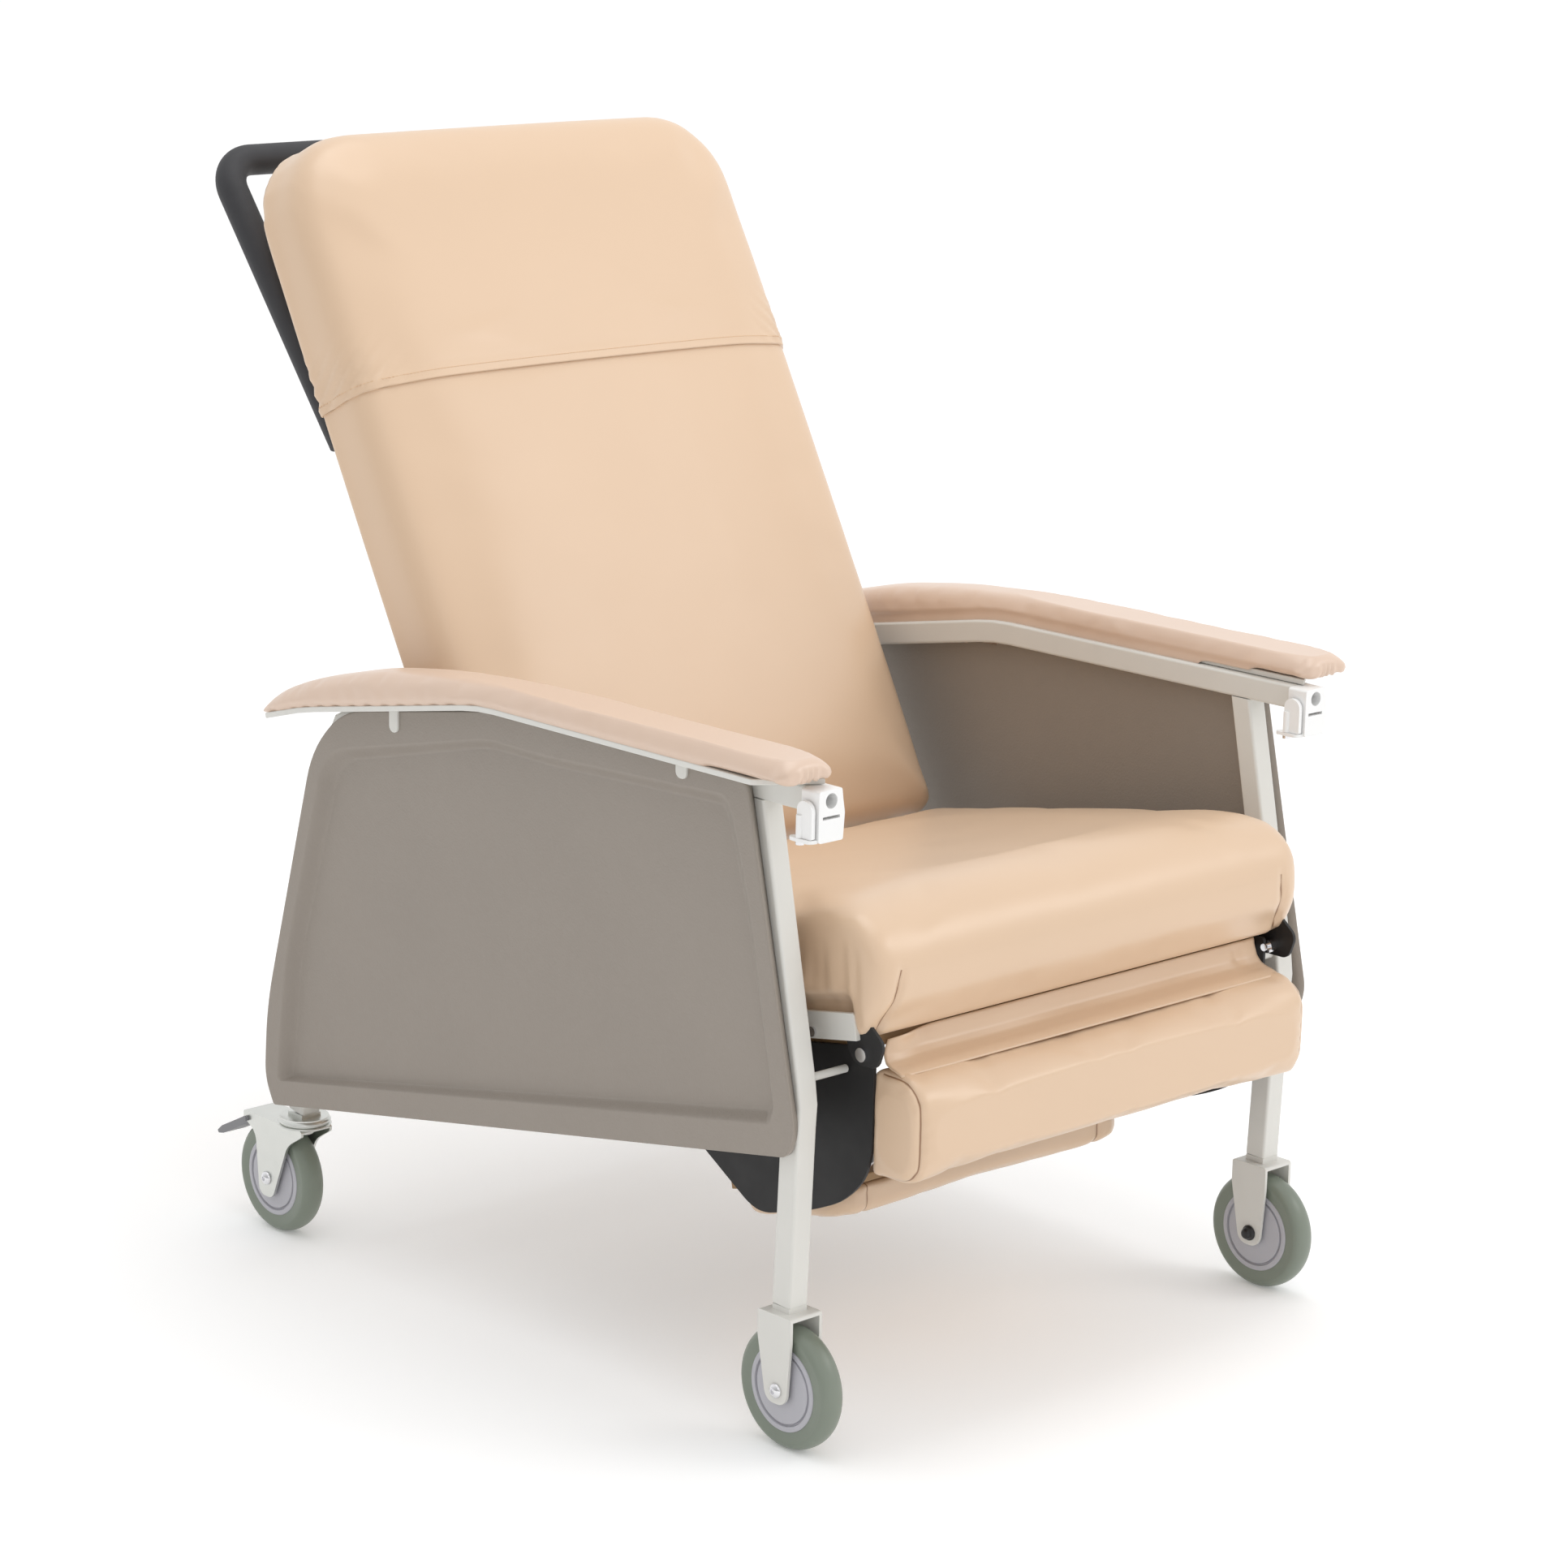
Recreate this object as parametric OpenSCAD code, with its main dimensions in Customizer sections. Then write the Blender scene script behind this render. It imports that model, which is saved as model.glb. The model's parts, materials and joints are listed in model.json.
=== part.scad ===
// Patient recliner chair on four wheels, upright travel position.
// Millimetres, +Z up, the sitter faces -Y, +X is the sitter's left.
// Side profiles are drawn as [y, z] with y = 0 over the front wheel axle.

/* [Frame] */
// distance between the centre planes of the left and right legs
track = 700; // [640:5:740]
// side of the square frame tube
tube = 25.4; // [20:0.2:32]
// wall thickness of the frame tube
wall = 1.6; // [1:0.1:3]
// height of the arm tube centre line at the front
arm_z = 658; // [600:1:700]

/* [Wheels] */
// wheel diameter
wheel_d = 127; // [100:1:150]
// tyre width
wheel_w = 30; // [20:1:36]
// distance from swivel axis to rear wheel axle
trail = 42; // [30:1:55]

/* [Arm rests] */
// width of the arm pad
pad_w = 74; // [60:1:90]
// thickness of the arm pad
pad_t = 21; // [16:1:40]
// how far the pad centre lies outboard of the leg centre
pad_out = 24; // [0:1:30]
// radius of the tray rod socket
socket_r = 7.5; // [4:0.1:8]

/* [Seat] */
// width of the seat cushion
seat_w = 596; // [500:2:600]
// slope of the seat, down towards the rear, in degrees
seat_slope = 10.46; // [0:0.1:15]
// height of the seat base at its front edge
seat_z = 402; // [380:1:440]

/* [Back rest] */
// width of the back cushion
back_w = 612; // [500:2:612]
// length of the back cushion
back_len = 846; // [700:2:900]
// lean of the back from vertical, in degrees
back_lean = 28.5; // [10:0.5:40]
// thickness of the back cushion
back_t = 74; // [50:1:100]

/* [Leg rest] */
// width of the calf pad
calf_w = 566; // [460:2:570]
// front face of the calf pad
calf_front = -101; // [-130:1:-90]
// lean of the folded foot pad, in degrees
foot_lean = 13.7; // [0:0.1:30]
// width of the foot pad
foot_w = 434; // [380:2:450]

/* [Hidden] */
$fn = 48;
wheel_r = wheel_d / 2;
half = track / 2;
inner = half - tube / 2;
outer = half + tube / 2;
seat_at = [0, -40, seat_z];
back_at = [0, 462, 459];
calf_pin = [-40, 401];
foot_pin = [12, 288];
foot_at = [0, 73, 182];
swivel_y = 785;
rear_y = swivel_y + trail;
grip_r = 17;
bar_s = 520 + 373 * cos(9.36);
bar_x = 270;
bar_up = 333;
bar_y = 103 + (bar_up + 40) * sin(9.36);
rear_end = back_at[1] + bar_s * sin(back_lean) + bar_y * cos(back_lean) + grip_r;
mid_y = (calf_front + rear_end) / 2;
back_pin = [60, -25];

// ---- side profile helpers ----
function unit2(a, b) = (b - a) / norm(b - a);
function left2(d) = [-d[1], d[0]];
function way_in(p, i) = i > 0 ? unit2(p[i - 1], p[i]) : unit2(p[0], p[1]);
function way_out(p, i) = i < len(p) - 1 ? unit2(p[i], p[i + 1]) : way_in(p, i);
function mean2(p, i) = left2(way_in(p, i)) + left2(way_out(p, i));
function mitre(p, i, h) = p[i] + mean2(p, i) * h / (mean2(p, i) * left2(way_in(p, i)));
function band(p, h) = concat(
    [for (i = [0:len(p) - 1]) mitre(p, i, h)],
    [for (i = [len(p) - 1:-1:0]) mitre(p, i, -h)]);
function longer(p) = [for (i = [0:len(p) - 1])
    i == 0 ? p[0] - way_out(p, 0) : i == len(p) - 1 ? p[i] + way_in(p, i) : p[i]];
function turn(a, b) = ((b - a + 540) % 360) - 180;
function fan(o, r, a0, da, n) = [for (k = [0:n]) o + r * [cos(a0 + da * k / n), sin(a0 + da * k / n)]];
function fillet_at(b, u, v, r, h) = let (o = b + (u + v) / norm(u + v) * r / sin(h),
    p = b + u * r / tan(h) - o, q = b + v * r / tan(h) - o,
    a0 = atan2(p[1], p[0])) fan(o, r, a0, turn(a0, atan2(q[1], q[0])), 6);
function fillet(a, b, c, r) = let (u = unit2(b, a), v = unit2(b, c))
    r <= 0 ? [b] : fillet_at(b, u, v, r, acos(u * v) / 2);
function soft(p, r) = [for (i = [0:len(p) - 1])
    each fillet(p[(i + len(p) - 1) % len(p)], p[i], p[(i + 1) % len(p)], is_list(r) ? r[i] : r)];

// profile in [y, z] made into a plate between two x positions
module slab(p, x0, x1) {
    translate([x0, 0, 0]) rotate([90, 0, 90]) linear_extrude(x1 - x0) polygon(p);
}

module place() {
    translate([0, -mid_y, 0]) children();
}

module both() {
    children();
    mirror([1, 0, 0]) children();
}

module on_seat() {
    translate(seat_at) rotate([-seat_slope, 0, 0]) children();
}

module on_back() {
    translate(back_at) rotate([-back_lean, 0, 0]) children();
}

module on_foot() {
    translate(foot_at) rotate([-foot_lean, 0, 0]) children();
}

module rod_x(r, x0, x1, y, z) {
    translate([x0, y, z]) rotate([0, 90, 0]) cylinder(r = r, h = x1 - x0);
}

// square tube following a side profile, open at both ends
module tube_run(p) {
    difference() {
        slab(band(p, tube / 2), inner, outer);
        slab(band(longer(p), tube / 2 - wall), inner + wall, outer - wall);
    }
}

// ---- side frames ----
leg_path = [[5, 148], [-2.6, 330], [-4, 352], [-1, 374], [3.5, 396], [57, 660]];
arm_path = [[-18, arm_z], [395, arm_z], [420, arm_z - 1.2], [445, arm_z - 4.6], [676, arm_z - 47],
    [700, arm_z - 58], [711.7, arm_z - 78.4], [716.4, arm_z - 106]];
rear_path = [[716.4, arm_z - 106], [swivel_y, 150]];

module front_legs() {
    color([0.85, 0.85, 0.82]) both() difference() {
        tube_run(leg_path);
        translate([inner - 1, 0, arm_z - tube / 2]) cube([tube + 2, 120, 60]);
    }
}

module arm_tubes() {
    color([0.85, 0.85, 0.82]) both() tube_run(arm_path);
}

module rear_legs() {
    color([0.85, 0.85, 0.82]) both() tube_run(rear_path);
}

// lower side tubes between the front and rear legs, parallel to the seat
module side_rails() {
    color([0.85, 0.85, 0.82]) both() difference() {
        on_seat() translate([inner, 44, -tube]) difference() {
            cube([tube, 760, tube]);
            translate([wall, -1, wall]) cube([tube - 2 * wall, 762, tube - 2 * wall]);
        }
        slab(band(leg_path, tube / 2), inner - 1, outer + 1);
        slab(band(rear_path, tube / 2), inner - 1, outer + 1);
        translate([inner - 1, 766, 200]) cube([tube + 2, 90, 100]);
    }
}

module cross_tube() {
    translate([-inner, 0, 0]) difference() {
        cube([2 * inner, tube, tube]);
        translate([-1, wall, wall]) cube([2 * inner + 2, tube - 2 * wall, tube - 2 * wall]);
    }
}

module cross_bars() {
    color([0.85, 0.85, 0.82]) {
        on_seat() translate([0, 296, -tube]) cross_tube();
        on_seat() translate([0, 466, -tube]) cross_tube();
        translate([0, 758, 221]) cross_tube();
    }
}

// guides that carry the sliding bars of the leg rest beside the seat board
module seat_guides() {
    color([0.6, 0.61, 0.62]) both() on_seat() translate([0, 72, 0]) {
        translate([309.6, 0, 0]) cube([4, 340, 46]);
        translate([303, 0, 8]) cube([7, 340, 4]);
    }
}

module stop_stubs() {
    color([0.75, 0.75, 0.76]) both() rod_x(4, 290, inner, -4, 376);
}

// ---- side panels ----
panel_edge = soft([[815, 152], [831, 180], [826, 262], [741, 566], [688, 618], [448, 640], [52, 640],
    [24, 512], [-1, 405], [-18, 330], [-8, 303]], [4, 20, 40, 60, 40, 0, 6, 20, 20, 30, 14]);
panel_field = soft([[782, 192], [794, 212], [776, 268], [702, 556], [664, 582], [440, 603], [90, 603],
    [60, 505], [36, 400], [24, 344], [34, 332]], [8, 12, 30, 40, 24, 0, 18, 16, 16, 18, 8]);

module side_panel() {
    difference() {
        slab(panel_edge, outer + 0.3, outer + 8);
        slab(panel_field, outer + 5, outer + 9);
        rod_x(3.5, outer, outer + 9, 792, 233);
    }
}

module side_panel_right() {
    color([0.58, 0.55, 0.51]) mirror([1, 0, 0]) side_panel();
}

module side_panel_left() {
    color([0.58, 0.55, 0.51]) side_panel();
}

// small tabs that hold the top edge of each panel to the arm
module panel_tabs() {
    color([0.85, 0.85, 0.82]) both() {
        translate([outer + 8.2, 142, 652]) cube([2, 18, 19]);
        translate([outer + 8.2, 586, 617]) cube([2, 18, 20]);
    }
}

// ---- arm rests ----
strip_path = [[-30, 0], [395, 0], [420, -1.2], [445, -4.6], [690, -49.6], [720, -56], [790, -75]];
pad_top = [[300, 24], [400, 20], [500, 13], [600, -1], [700, -26], [760, -48], [794, -71]];
function shift(p, d) = [for (q = p) [q[0], q[1] + arm_z + tube / 2 + d]];

module arm_strips() {
    color([0.82, 0.82, 0.8]) both() slab(band(shift(strip_path, 3.5), 3), half + pad_out - 28, half + pad_out + 30);
}

// crowned top that thins out to a tip at the rear
pad_side = soft(concat(shift([[-40, 0], [395, 0], [420, -1.2], [445, -4.6], [690, -49.6], [720, -56], [792, -75.5]], 6.9),
    [for (k = [len(pad_top) - 1:-1:0]) shift(pad_top, 3.4)[k]], shift([[-8, pad_t + 3], [-40, 12]], 3.4)),
    [3, 0, 0, 0, 0, 0, 0.3, 0.7, 30, 60, 60, 60, 60, 60, 20, 6]);

module arm_pad() {
    x = half + pad_out - pad_w / 2;
    slab(pad_side, x, x + pad_w);
}

module arm_pad_right() {
    color([0.88, 0.77, 0.66]) mirror([1, 0, 0]) arm_pad();
}

module arm_pad_left() {
    color([0.88, 0.77, 0.66]) arm_pad();
}

// ---- tray clips at the front of the arm tubes ----
module clip_at(s) {
    translate([s * half, -18, arm_z]) children();
}

clip_face = soft([[-19, -38], [12.5, -38], [14.5, -12], [12, 2], [10.5, 13], [-19, 12]], [3, 2, 8, 10, 3, 3]);
clip_lug = soft([[-28, -20], [-18, -22], [-18, 8], [-24, 11], [-28, 6]], [6, 1, 3, 5, 4]);
latch_pin = [-24, -4];
socket_at = [-3, 1.5];

module tray_clip() {
    difference() {
        union() {
            rotate([90, 0, 0]) linear_extrude(24) polygon(clip_face);
            translate([0, 0, -38]) linear_extrude(3.5) polygon(clip_lug);
        }
        translate([socket_at[0], 1, socket_at[1]]) rotate([90, 0, 0]) cylinder(r = socket_r, h = 26);
        translate([-14, -25, -16]) cube([22, 26, 3]);
        translate([latch_pin[0], latch_pin[1], -39]) cylinder(r = 2.4, h = 6);
    }
}

module tray_clips() {
    color([0.95, 0.95, 0.95]) for (s = [-1, 1]) clip_at(s) tray_clip();
}

module clip_screws() {
    color([0.7, 0.7, 0.72]) for (s = [-1, 1]) clip_at(s) {
        translate([latch_pin[0], latch_pin[1], -38]) cylinder(r = 2.4, h = 20);
        translate([latch_pin[0], latch_pin[1], -41]) cylinder(r = 4.2, h = 3);
    }
}

ear = soft([[-21, -34.2], [-0.5, -34.2], [-0.5, 2], [-21, 2]], [2, 1, 9, 10]);

module tray_latch() {
    difference() {
        union() {
            slab(ear, -25.5, -21);
            translate([latch_pin[0], latch_pin[1], -34.2]) cylinder(r = 4.2, h = 22);
        }
        translate([latch_pin[0], latch_pin[1], -36]) cylinder(r = 2.46, h = 19);
    }
}

module tray_latch_right() {
    color([0.93, 0.93, 0.92]) clip_at(-1) tray_latch();
}

module tray_latch_left() {
    color([0.93, 0.93, 0.92]) clip_at(1) tray_latch();
}

// ---- front wheels in fixed forks ----
fork_side = soft([[-19, 141], [28, 141], [28, 116], [15, 49.5], [-14, 49.5], [-19, 116]], [3, 3, 12, 13, 13, 12]);

module fork_pair(p) {
    difference() {
        slab(p, -wheel_w / 2 - 6, wheel_w / 2 + 6);
        translate([-wheel_w / 2 - 2.5, -60, 20]) cube([wheel_w + 5, 120, 117]);
        rod_x(4, -30, 30, 0, wheel_r);
    }
}

module front_forks() {
    color([0.72, 0.73, 0.74]) for (s = [-1, 1]) translate([s * half, 0, 0]) {
        fork_pair(fork_side);
        translate([0, 4.6, 141]) cylinder(r = 10, h = 22);
        translate([-12, -7, 141]) cube([24, 24, 6.2]);
    }
}

// bolt with its head outboard and its nut inboard
module axle_bolt() {
    rod_x(3.9, -27, 22, 0, wheel_r);
    rod_x(7.5, 21.2, 26.5, 0, wheel_r);
    rod_x(7.5, -28, -21.2, 0, wheel_r);
}

module front_axles() {
    color([0.8, 0.8, 0.82]) both() translate([half, 0, 0]) axle_bolt();
}

module hub() {
    translate([0, 0, wheel_r]) rotate([0, 90, 0]) difference() {
        union() {
            translate([0, 0, -12]) cylinder(r = 44, h = 24, $fn = 96);
            translate([0, 0, -17]) cylinder(r = 13, h = 34);
        }
        translate([0, 0, -13]) difference() {
            cylinder(r = 38, h = 5, $fn = 96);
            translate([0, 0, -1]) cylinder(r = 19, h = 7);
        }
        translate([0, 0, 8]) difference() {
            cylinder(r = 38, h = 5, $fn = 96);
            translate([0, 0, -1]) cylinder(r = 19, h = 7);
        }
        translate([0, 0, -20]) cylinder(r = 4, h = 40);
    }
}

module tyre() {
    translate([0, 0, wheel_r]) rotate([0, 90, 0]) rotate_extrude($fn = 96)
        polygon(soft([[44.1, -12], [50, -14], [wheel_r, -wheel_w / 2 + 1], [wheel_r, wheel_w / 2 - 1],
            [50, 14], [44.1, 12]], [0, 3, 9, 9, 3, 0]));
}

module front_hub_right() {
    color([0.7, 0.7, 0.74]) translate([-half, 0, 0]) hub();
}

module front_tyre_right() {
    color([0.5, 0.54, 0.49]) translate([-half, 0, 0]) tyre();
}

module front_hub_left() {
    color([0.7, 0.7, 0.74]) translate([half, 0, 0]) hub();
}

module front_tyre_left() {
    color([0.5, 0.54, 0.49]) translate([half, 0, 0]) tyre();
}

// ---- rear casters with total lock pedals ----
pedal_pin = [78, 124];

module caster_mounts() {
    color([0.72, 0.73, 0.74]) both() translate([half, swivel_y, 0]) {
        translate([0, 0, 134.5]) cylinder(r = 27, h = 9);
        translate([0, 0, 123]) cylinder(r = 6, h = 13);
        translate([0, 0, 123]) cylinder(r = 10, h = 4.5);
        translate([-12.7, -12.7, 143.5]) cube([25.4, 25.4, 4.2]);
    }
}

caster_side = soft([[-22, 133], [84, 133], [84, 124], [62, 112], [56, 42], [32, 42], [4, 110], [-22, 126]],
    [3, 3, 4, 20, 11, 11, 30, 4]);

module caster_fork() {
    translate([0, swivel_y, 0]) difference() {
        slab(caster_side, -wheel_w / 2 - 6, wheel_w / 2 + 6);
        translate([-wheel_w / 2 - 2.8, -60, 20]) cube([wheel_w + 5.6, 170, 109.5]);
        translate([0, 0, 100]) cylinder(r = 6.06, h = 60);
        rod_x(4, -30, 30, trail, wheel_r);
        rod_x(3.06, -30, 30, pedal_pin[0], pedal_pin[1]);
    }
}

module caster_fork_right() {
    color([0.72, 0.73, 0.74]) translate([-half, 0, 0]) caster_fork();
}

module caster_fork_left() {
    color([0.72, 0.73, 0.74]) translate([half, 0, 0]) caster_fork();
}

module rear_axle_right() {
    color([0.8, 0.8, 0.82]) translate([-half, rear_y, 0]) mirror([1, 0, 0]) axle_bolt();
}

module rear_axle_left() {
    color([0.8, 0.8, 0.82]) translate([half, rear_y, 0]) axle_bolt();
}

module rear_hub_right() {
    color([0.7, 0.7, 0.74]) translate([-half, rear_y, 0]) hub();
}

module rear_tyre_right() {
    color([0.5, 0.54, 0.49]) translate([-half, rear_y, 0]) tyre();
}

module rear_hub_left() {
    color([0.7, 0.7, 0.74]) translate([half, rear_y, 0]) hub();
}

module rear_tyre_left() {
    color([0.5, 0.54, 0.49]) translate([half, rear_y, 0]) tyre();
}

pedal_side = soft([[75, 126], [87, 124], [134, 100], [142, 93], [140, 90], [131, 92], [87, 114], [79, 119]],
    [1, 3, 2, 1, 1, 2, 3, 1]);

module brake_pedal() {
    translate([0, swivel_y, 0]) {
        slab(pedal_side, -15, 15);
        rod_x(5, -17, 17, pedal_pin[0], pedal_pin[1]);
        rod_x(3, -25, 25, pedal_pin[0], pedal_pin[1]);
    }
}

module brake_pedal_right() {
    color([0.5, 0.5, 0.52]) translate([-half, 0, 0]) brake_pedal();
}

module brake_pedal_left() {
    color([0.5, 0.5, 0.52]) translate([half, 0, 0]) brake_pedal();
}

// ---- seat ----
seat_side = soft([[8, 12.4], [-44, 60], [-34, 124], [20, 138], [496, 136], [478, 12.4]], [10, 36, 40, 30, 16, 8]);

module seat_board() {
    color([0.45, 0.33, 0.22]) on_seat() translate([-282.5, 12, 0]) cube([565, 470, 12]);
}

module seat_cushion() {
    color([0.91, 0.82, 0.7]) on_seat() difference() {
        slab(seat_side, -seat_w / 2 - 12, seat_w / 2 + 12);
        both() translate([seat_w / 2, -100, 0]) cube([20, 700, 52]);
    }
}

// ---- back rest ----
hinge_side = soft([[440, 0], [500, 0], [551, 92], [551, 118], [516, 118], [440, 40]], [0, 0, 10, 12, 12, 10]);

module back_hinges() {
    color([0.6, 0.61, 0.62]) both() {
        on_seat() slab(hinge_side, 315, 320);
        on_back() rod_x(6, 307, 323, back_pin[0], back_pin[1]);
    }
}

arm_side = soft([[46, -39], [74, -39], [91, -20], [91, 262], [62, 262], [46, 200]], [12, 12, 8, 4, 4, 20]);

module back_arms() {
    color([0.6, 0.61, 0.62]) both() on_back() difference() {
        slab(arm_side, 308.5, 313.5);
        rod_x(6.06, 300, 320, back_pin[0], back_pin[1]);
    }
}

module back_straps() {
    color([0.6, 0.61, 0.62]) on_back() for (s = [60, 218]) translate([-308.5, 87, s]) cube([617, 4, 40]);
}

module back_board() {
    color([0.45, 0.33, 0.22]) on_back() translate([0, 86.5, 0]) rotate([90, 0, 0]) linear_extrude(12)
        polygon(soft([[-274, 4], [274, 4], [274, back_len - 30], [-274, back_len - 30]], [12, 12, 80, 80]));
}

module back_plan(g) {
    w = back_w / 2;
    polygon(soft([[-w - g, -6 - g], [w + g, -6 - g], [w + g, back_t], [-w - g, back_t]], [30 + g, 30 + g, 8, 8]));
}

module back_cushion() {
    color([0.91, 0.82, 0.7]) on_back() linear_extrude(back_len) back_plan(0);
}

// separate cover drawn over the upper third of the back cushion
module headrest_cover() {
    color([0.92, 0.83, 0.71]) on_back() difference() {
        translate([0, 0, 556]) linear_extrude(back_len - 556 + 2.5) back_plan(2.2);
        translate([0, 0, 500]) linear_extrude(back_len - 500 + 0.3) back_plan(0.2);
        translate([-400, back_t - 8, 500]) cube([800, 40, back_len - 500 + 0.3]);
    }
}

module handle_clamps() {
    color([0.3, 0.3, 0.31]) both() on_back() for (s = [404, 468]) difference() {
        translate([bar_x - 15, 86.7, s]) cube([30, 16.3, 24]);
        translate([bar_x, 103, s - 1]) cylinder(r = 11.05, h = 28);
    }
}

// upper half of the push bar, drawn flat and then leaned back from the knee
module bar_top(r, from) {
    translate([bar_x, 103, 520]) rotate([-9.36, 0, 0]) {
        translate([0, 0, from]) cylinder(r = r, h = bar_up - from);
        translate([-40, 0, bar_up]) rotate([90, 0, 0]) rotate_extrude(angle = 90) translate([40, 0]) circle(r = r);
        translate([-bar_x, 0, bar_up + 40]) rotate([0, 90, 0]) cylinder(r = r, h = bar_x - 40);
    }
}

module bar_full(r, from) {
    translate([bar_x, 103, from]) cylinder(r = r, h = 520 - from);
    translate([bar_x, 103, 520]) sphere(r = r);
    bar_top(r, 0);
}

module handle_tube() {
    color([0.35, 0.35, 0.36]) both() on_back() bar_full(11, 390);
}

module handle_grip() {
    color([0.18, 0.18, 0.19]) both() on_back() difference() {
        bar_top(grip_r, 14);
        bar_top(11.05, 0);
    }
}

// ---- leg rest ----
module slide_bars() {
    color([0.84, 0.84, 0.82]) both() difference() {
        union() {
            on_seat() translate([303.2, 0, 13]) cube([6, 300, 27]);
            slab(soft([[-50, 391], [-29, 391], [-18, 410], [-18, 436], [-36, 440], [-58, 418]], [8, 8, 6, 2, 3, 8]), 299, 303.2);
        }
        rod_x(4, 290, 312, calf_pin[0], calf_pin[1]);
    }
}

module slide_screws() {
    color([0.7, 0.7, 0.72]) both() on_seat() translate([309.2, 60, 20]) rotate([0, 90, 0]) cylinder(r = 5, h = 2.5);
}

module calf_pins() {
    color([0.7, 0.7, 0.72]) both() {
        rod_x(4, 283, 304, calf_pin[0], calf_pin[1]);
        rod_x(7, 288.2, 299, calf_pin[0], calf_pin[1]);
        rod_x(7, 303.2, 306, calf_pin[0], calf_pin[1]);
    }
}

module calf_board() {
    color([0.45, 0.33, 0.22]) translate([-283, -50, 282]) cube([566, 10, 98]);
}

calf_side = soft([[-50.4, 383], [-50.4, 272], [calf_front, 272], [calf_front, 383]], [8, 14, 24, 24]);

module calf_pad() {
    color([0.91, 0.82, 0.7]) slab(calf_side, -calf_w / 2, calf_w / 2);
}

// plates that close the gap between calf pad and seat
guard_edge = soft([[-50, 411], [-50, 300], [-18, 246], [50, 214], [112, 196], [132, 200], [212, 248],
    [222, 286], [196, 358], [-26, 398], [-30, 411]], [8, 30, 40, 30, 10, 10, 14, 20, 12, 6, 6]);

module guard() {
    difference() {
        slab(guard_edge, 283.2, 287.2);
        rod_x(4.06, 280, 290, calf_pin[0], calf_pin[1]);
    }
}

module guard_right() {
    color([0.1, 0.1, 0.1]) mirror([1, 0, 0]) guard();
}

module guard_left() {
    color([0.1, 0.1, 0.1]) guard();
}

module flap() {
    color([0.86, 0.75, 0.62]) slab([[-76, 383.2], [-58, 383.2], [-46, 408], [-49, 408]], -279, 279);
}

// ---- foot rest ----
module foot_brackets() {
    color([0.6, 0.61, 0.62]) both() difference() {
        slab(soft([[-39.8, 284], [-39.8, 330], [-28, 330], [23, 299], [23, 277], [2, 277], [-28, 284]],
            [0, 0, 6, 9, 9, 9, 6]), 226, 230);
        rod_x(4, 220, 235, foot_pin[0], foot_pin[1]);
    }
}

module foot_pins() {
    color([0.7, 0.7, 0.72]) both() {
        rod_x(4, 217, 233, foot_pin[0], foot_pin[1]);
        rod_x(6.5, 230.1, 234, foot_pin[0], foot_pin[1]);
    }
}

module foot_arms() {
    color([0.6, 0.61, 0.62]) both() difference() {
        slab(soft([[3, 299], [24, 299], [152, 203], [150, 192], [78, 209], [2, 277]], [9, 9, 3, 3, 6, 9]), 219.2, 224.2);
        rod_x(4.06, 215, 228, foot_pin[0], foot_pin[1]);
    }
}

module foot_board() {
    color([0.45, 0.33, 0.22]) on_foot() translate([-219, 4, 30.4]) cube([438, 152, 8]);
}

foot_side = soft([[0, 30], [160, 30], [160, 0], [0, 0]], [6, 6, 13, 13]);

module foot_pad() {
    color([0.86, 0.75, 0.62]) on_foot() slab(foot_side, -foot_w / 2, foot_w / 2);
}

place() front_legs();
place() arm_tubes();
place() rear_legs();
place() side_rails();
place() cross_bars();
place() seat_guides();
place() stop_stubs();
place() side_panel_right();
place() side_panel_left();
place() panel_tabs();
place() arm_strips();
place() arm_pad_right();
place() arm_pad_left();
place() tray_clips();
place() clip_screws();
place() tray_latch_right();
place() tray_latch_left();
place() front_forks();
place() front_axles();
place() front_hub_right();
place() front_tyre_right();
place() front_hub_left();
place() front_tyre_left();
place() caster_mounts();
place() caster_fork_right();
place() caster_fork_left();
place() rear_axle_right();
place() rear_axle_left();
place() rear_hub_right();
place() rear_tyre_right();
place() rear_hub_left();
place() rear_tyre_left();
place() brake_pedal_right();
place() brake_pedal_left();
place() seat_board();
place() seat_cushion();
place() back_hinges();
place() back_arms();
place() back_straps();
place() back_board();
place() back_cushion();
place() headrest_cover();
place() handle_clamps();
place() handle_tube();
place() handle_grip();
place() slide_bars();
place() slide_screws();
place() calf_pins();
place() calf_board();
place() calf_pad();
place() guard_right();
place() guard_left();
place() flap();
place() foot_brackets();
place() foot_pins();
place() foot_arms();
place() foot_board();
place() foot_pad();
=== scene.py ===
# Patient recliner chair: vinyl cushions on a painted tube frame with side panels, wheels and fittings.
# Metres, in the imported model's frame: +Z up, the sitter faces -Y, +X is the sitter's left.
import json
import math
import bmesh
import bpy
import numpy as np
from mathutils import Matrix, Vector
from mathutils.bvhtree import BVHTree


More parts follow.
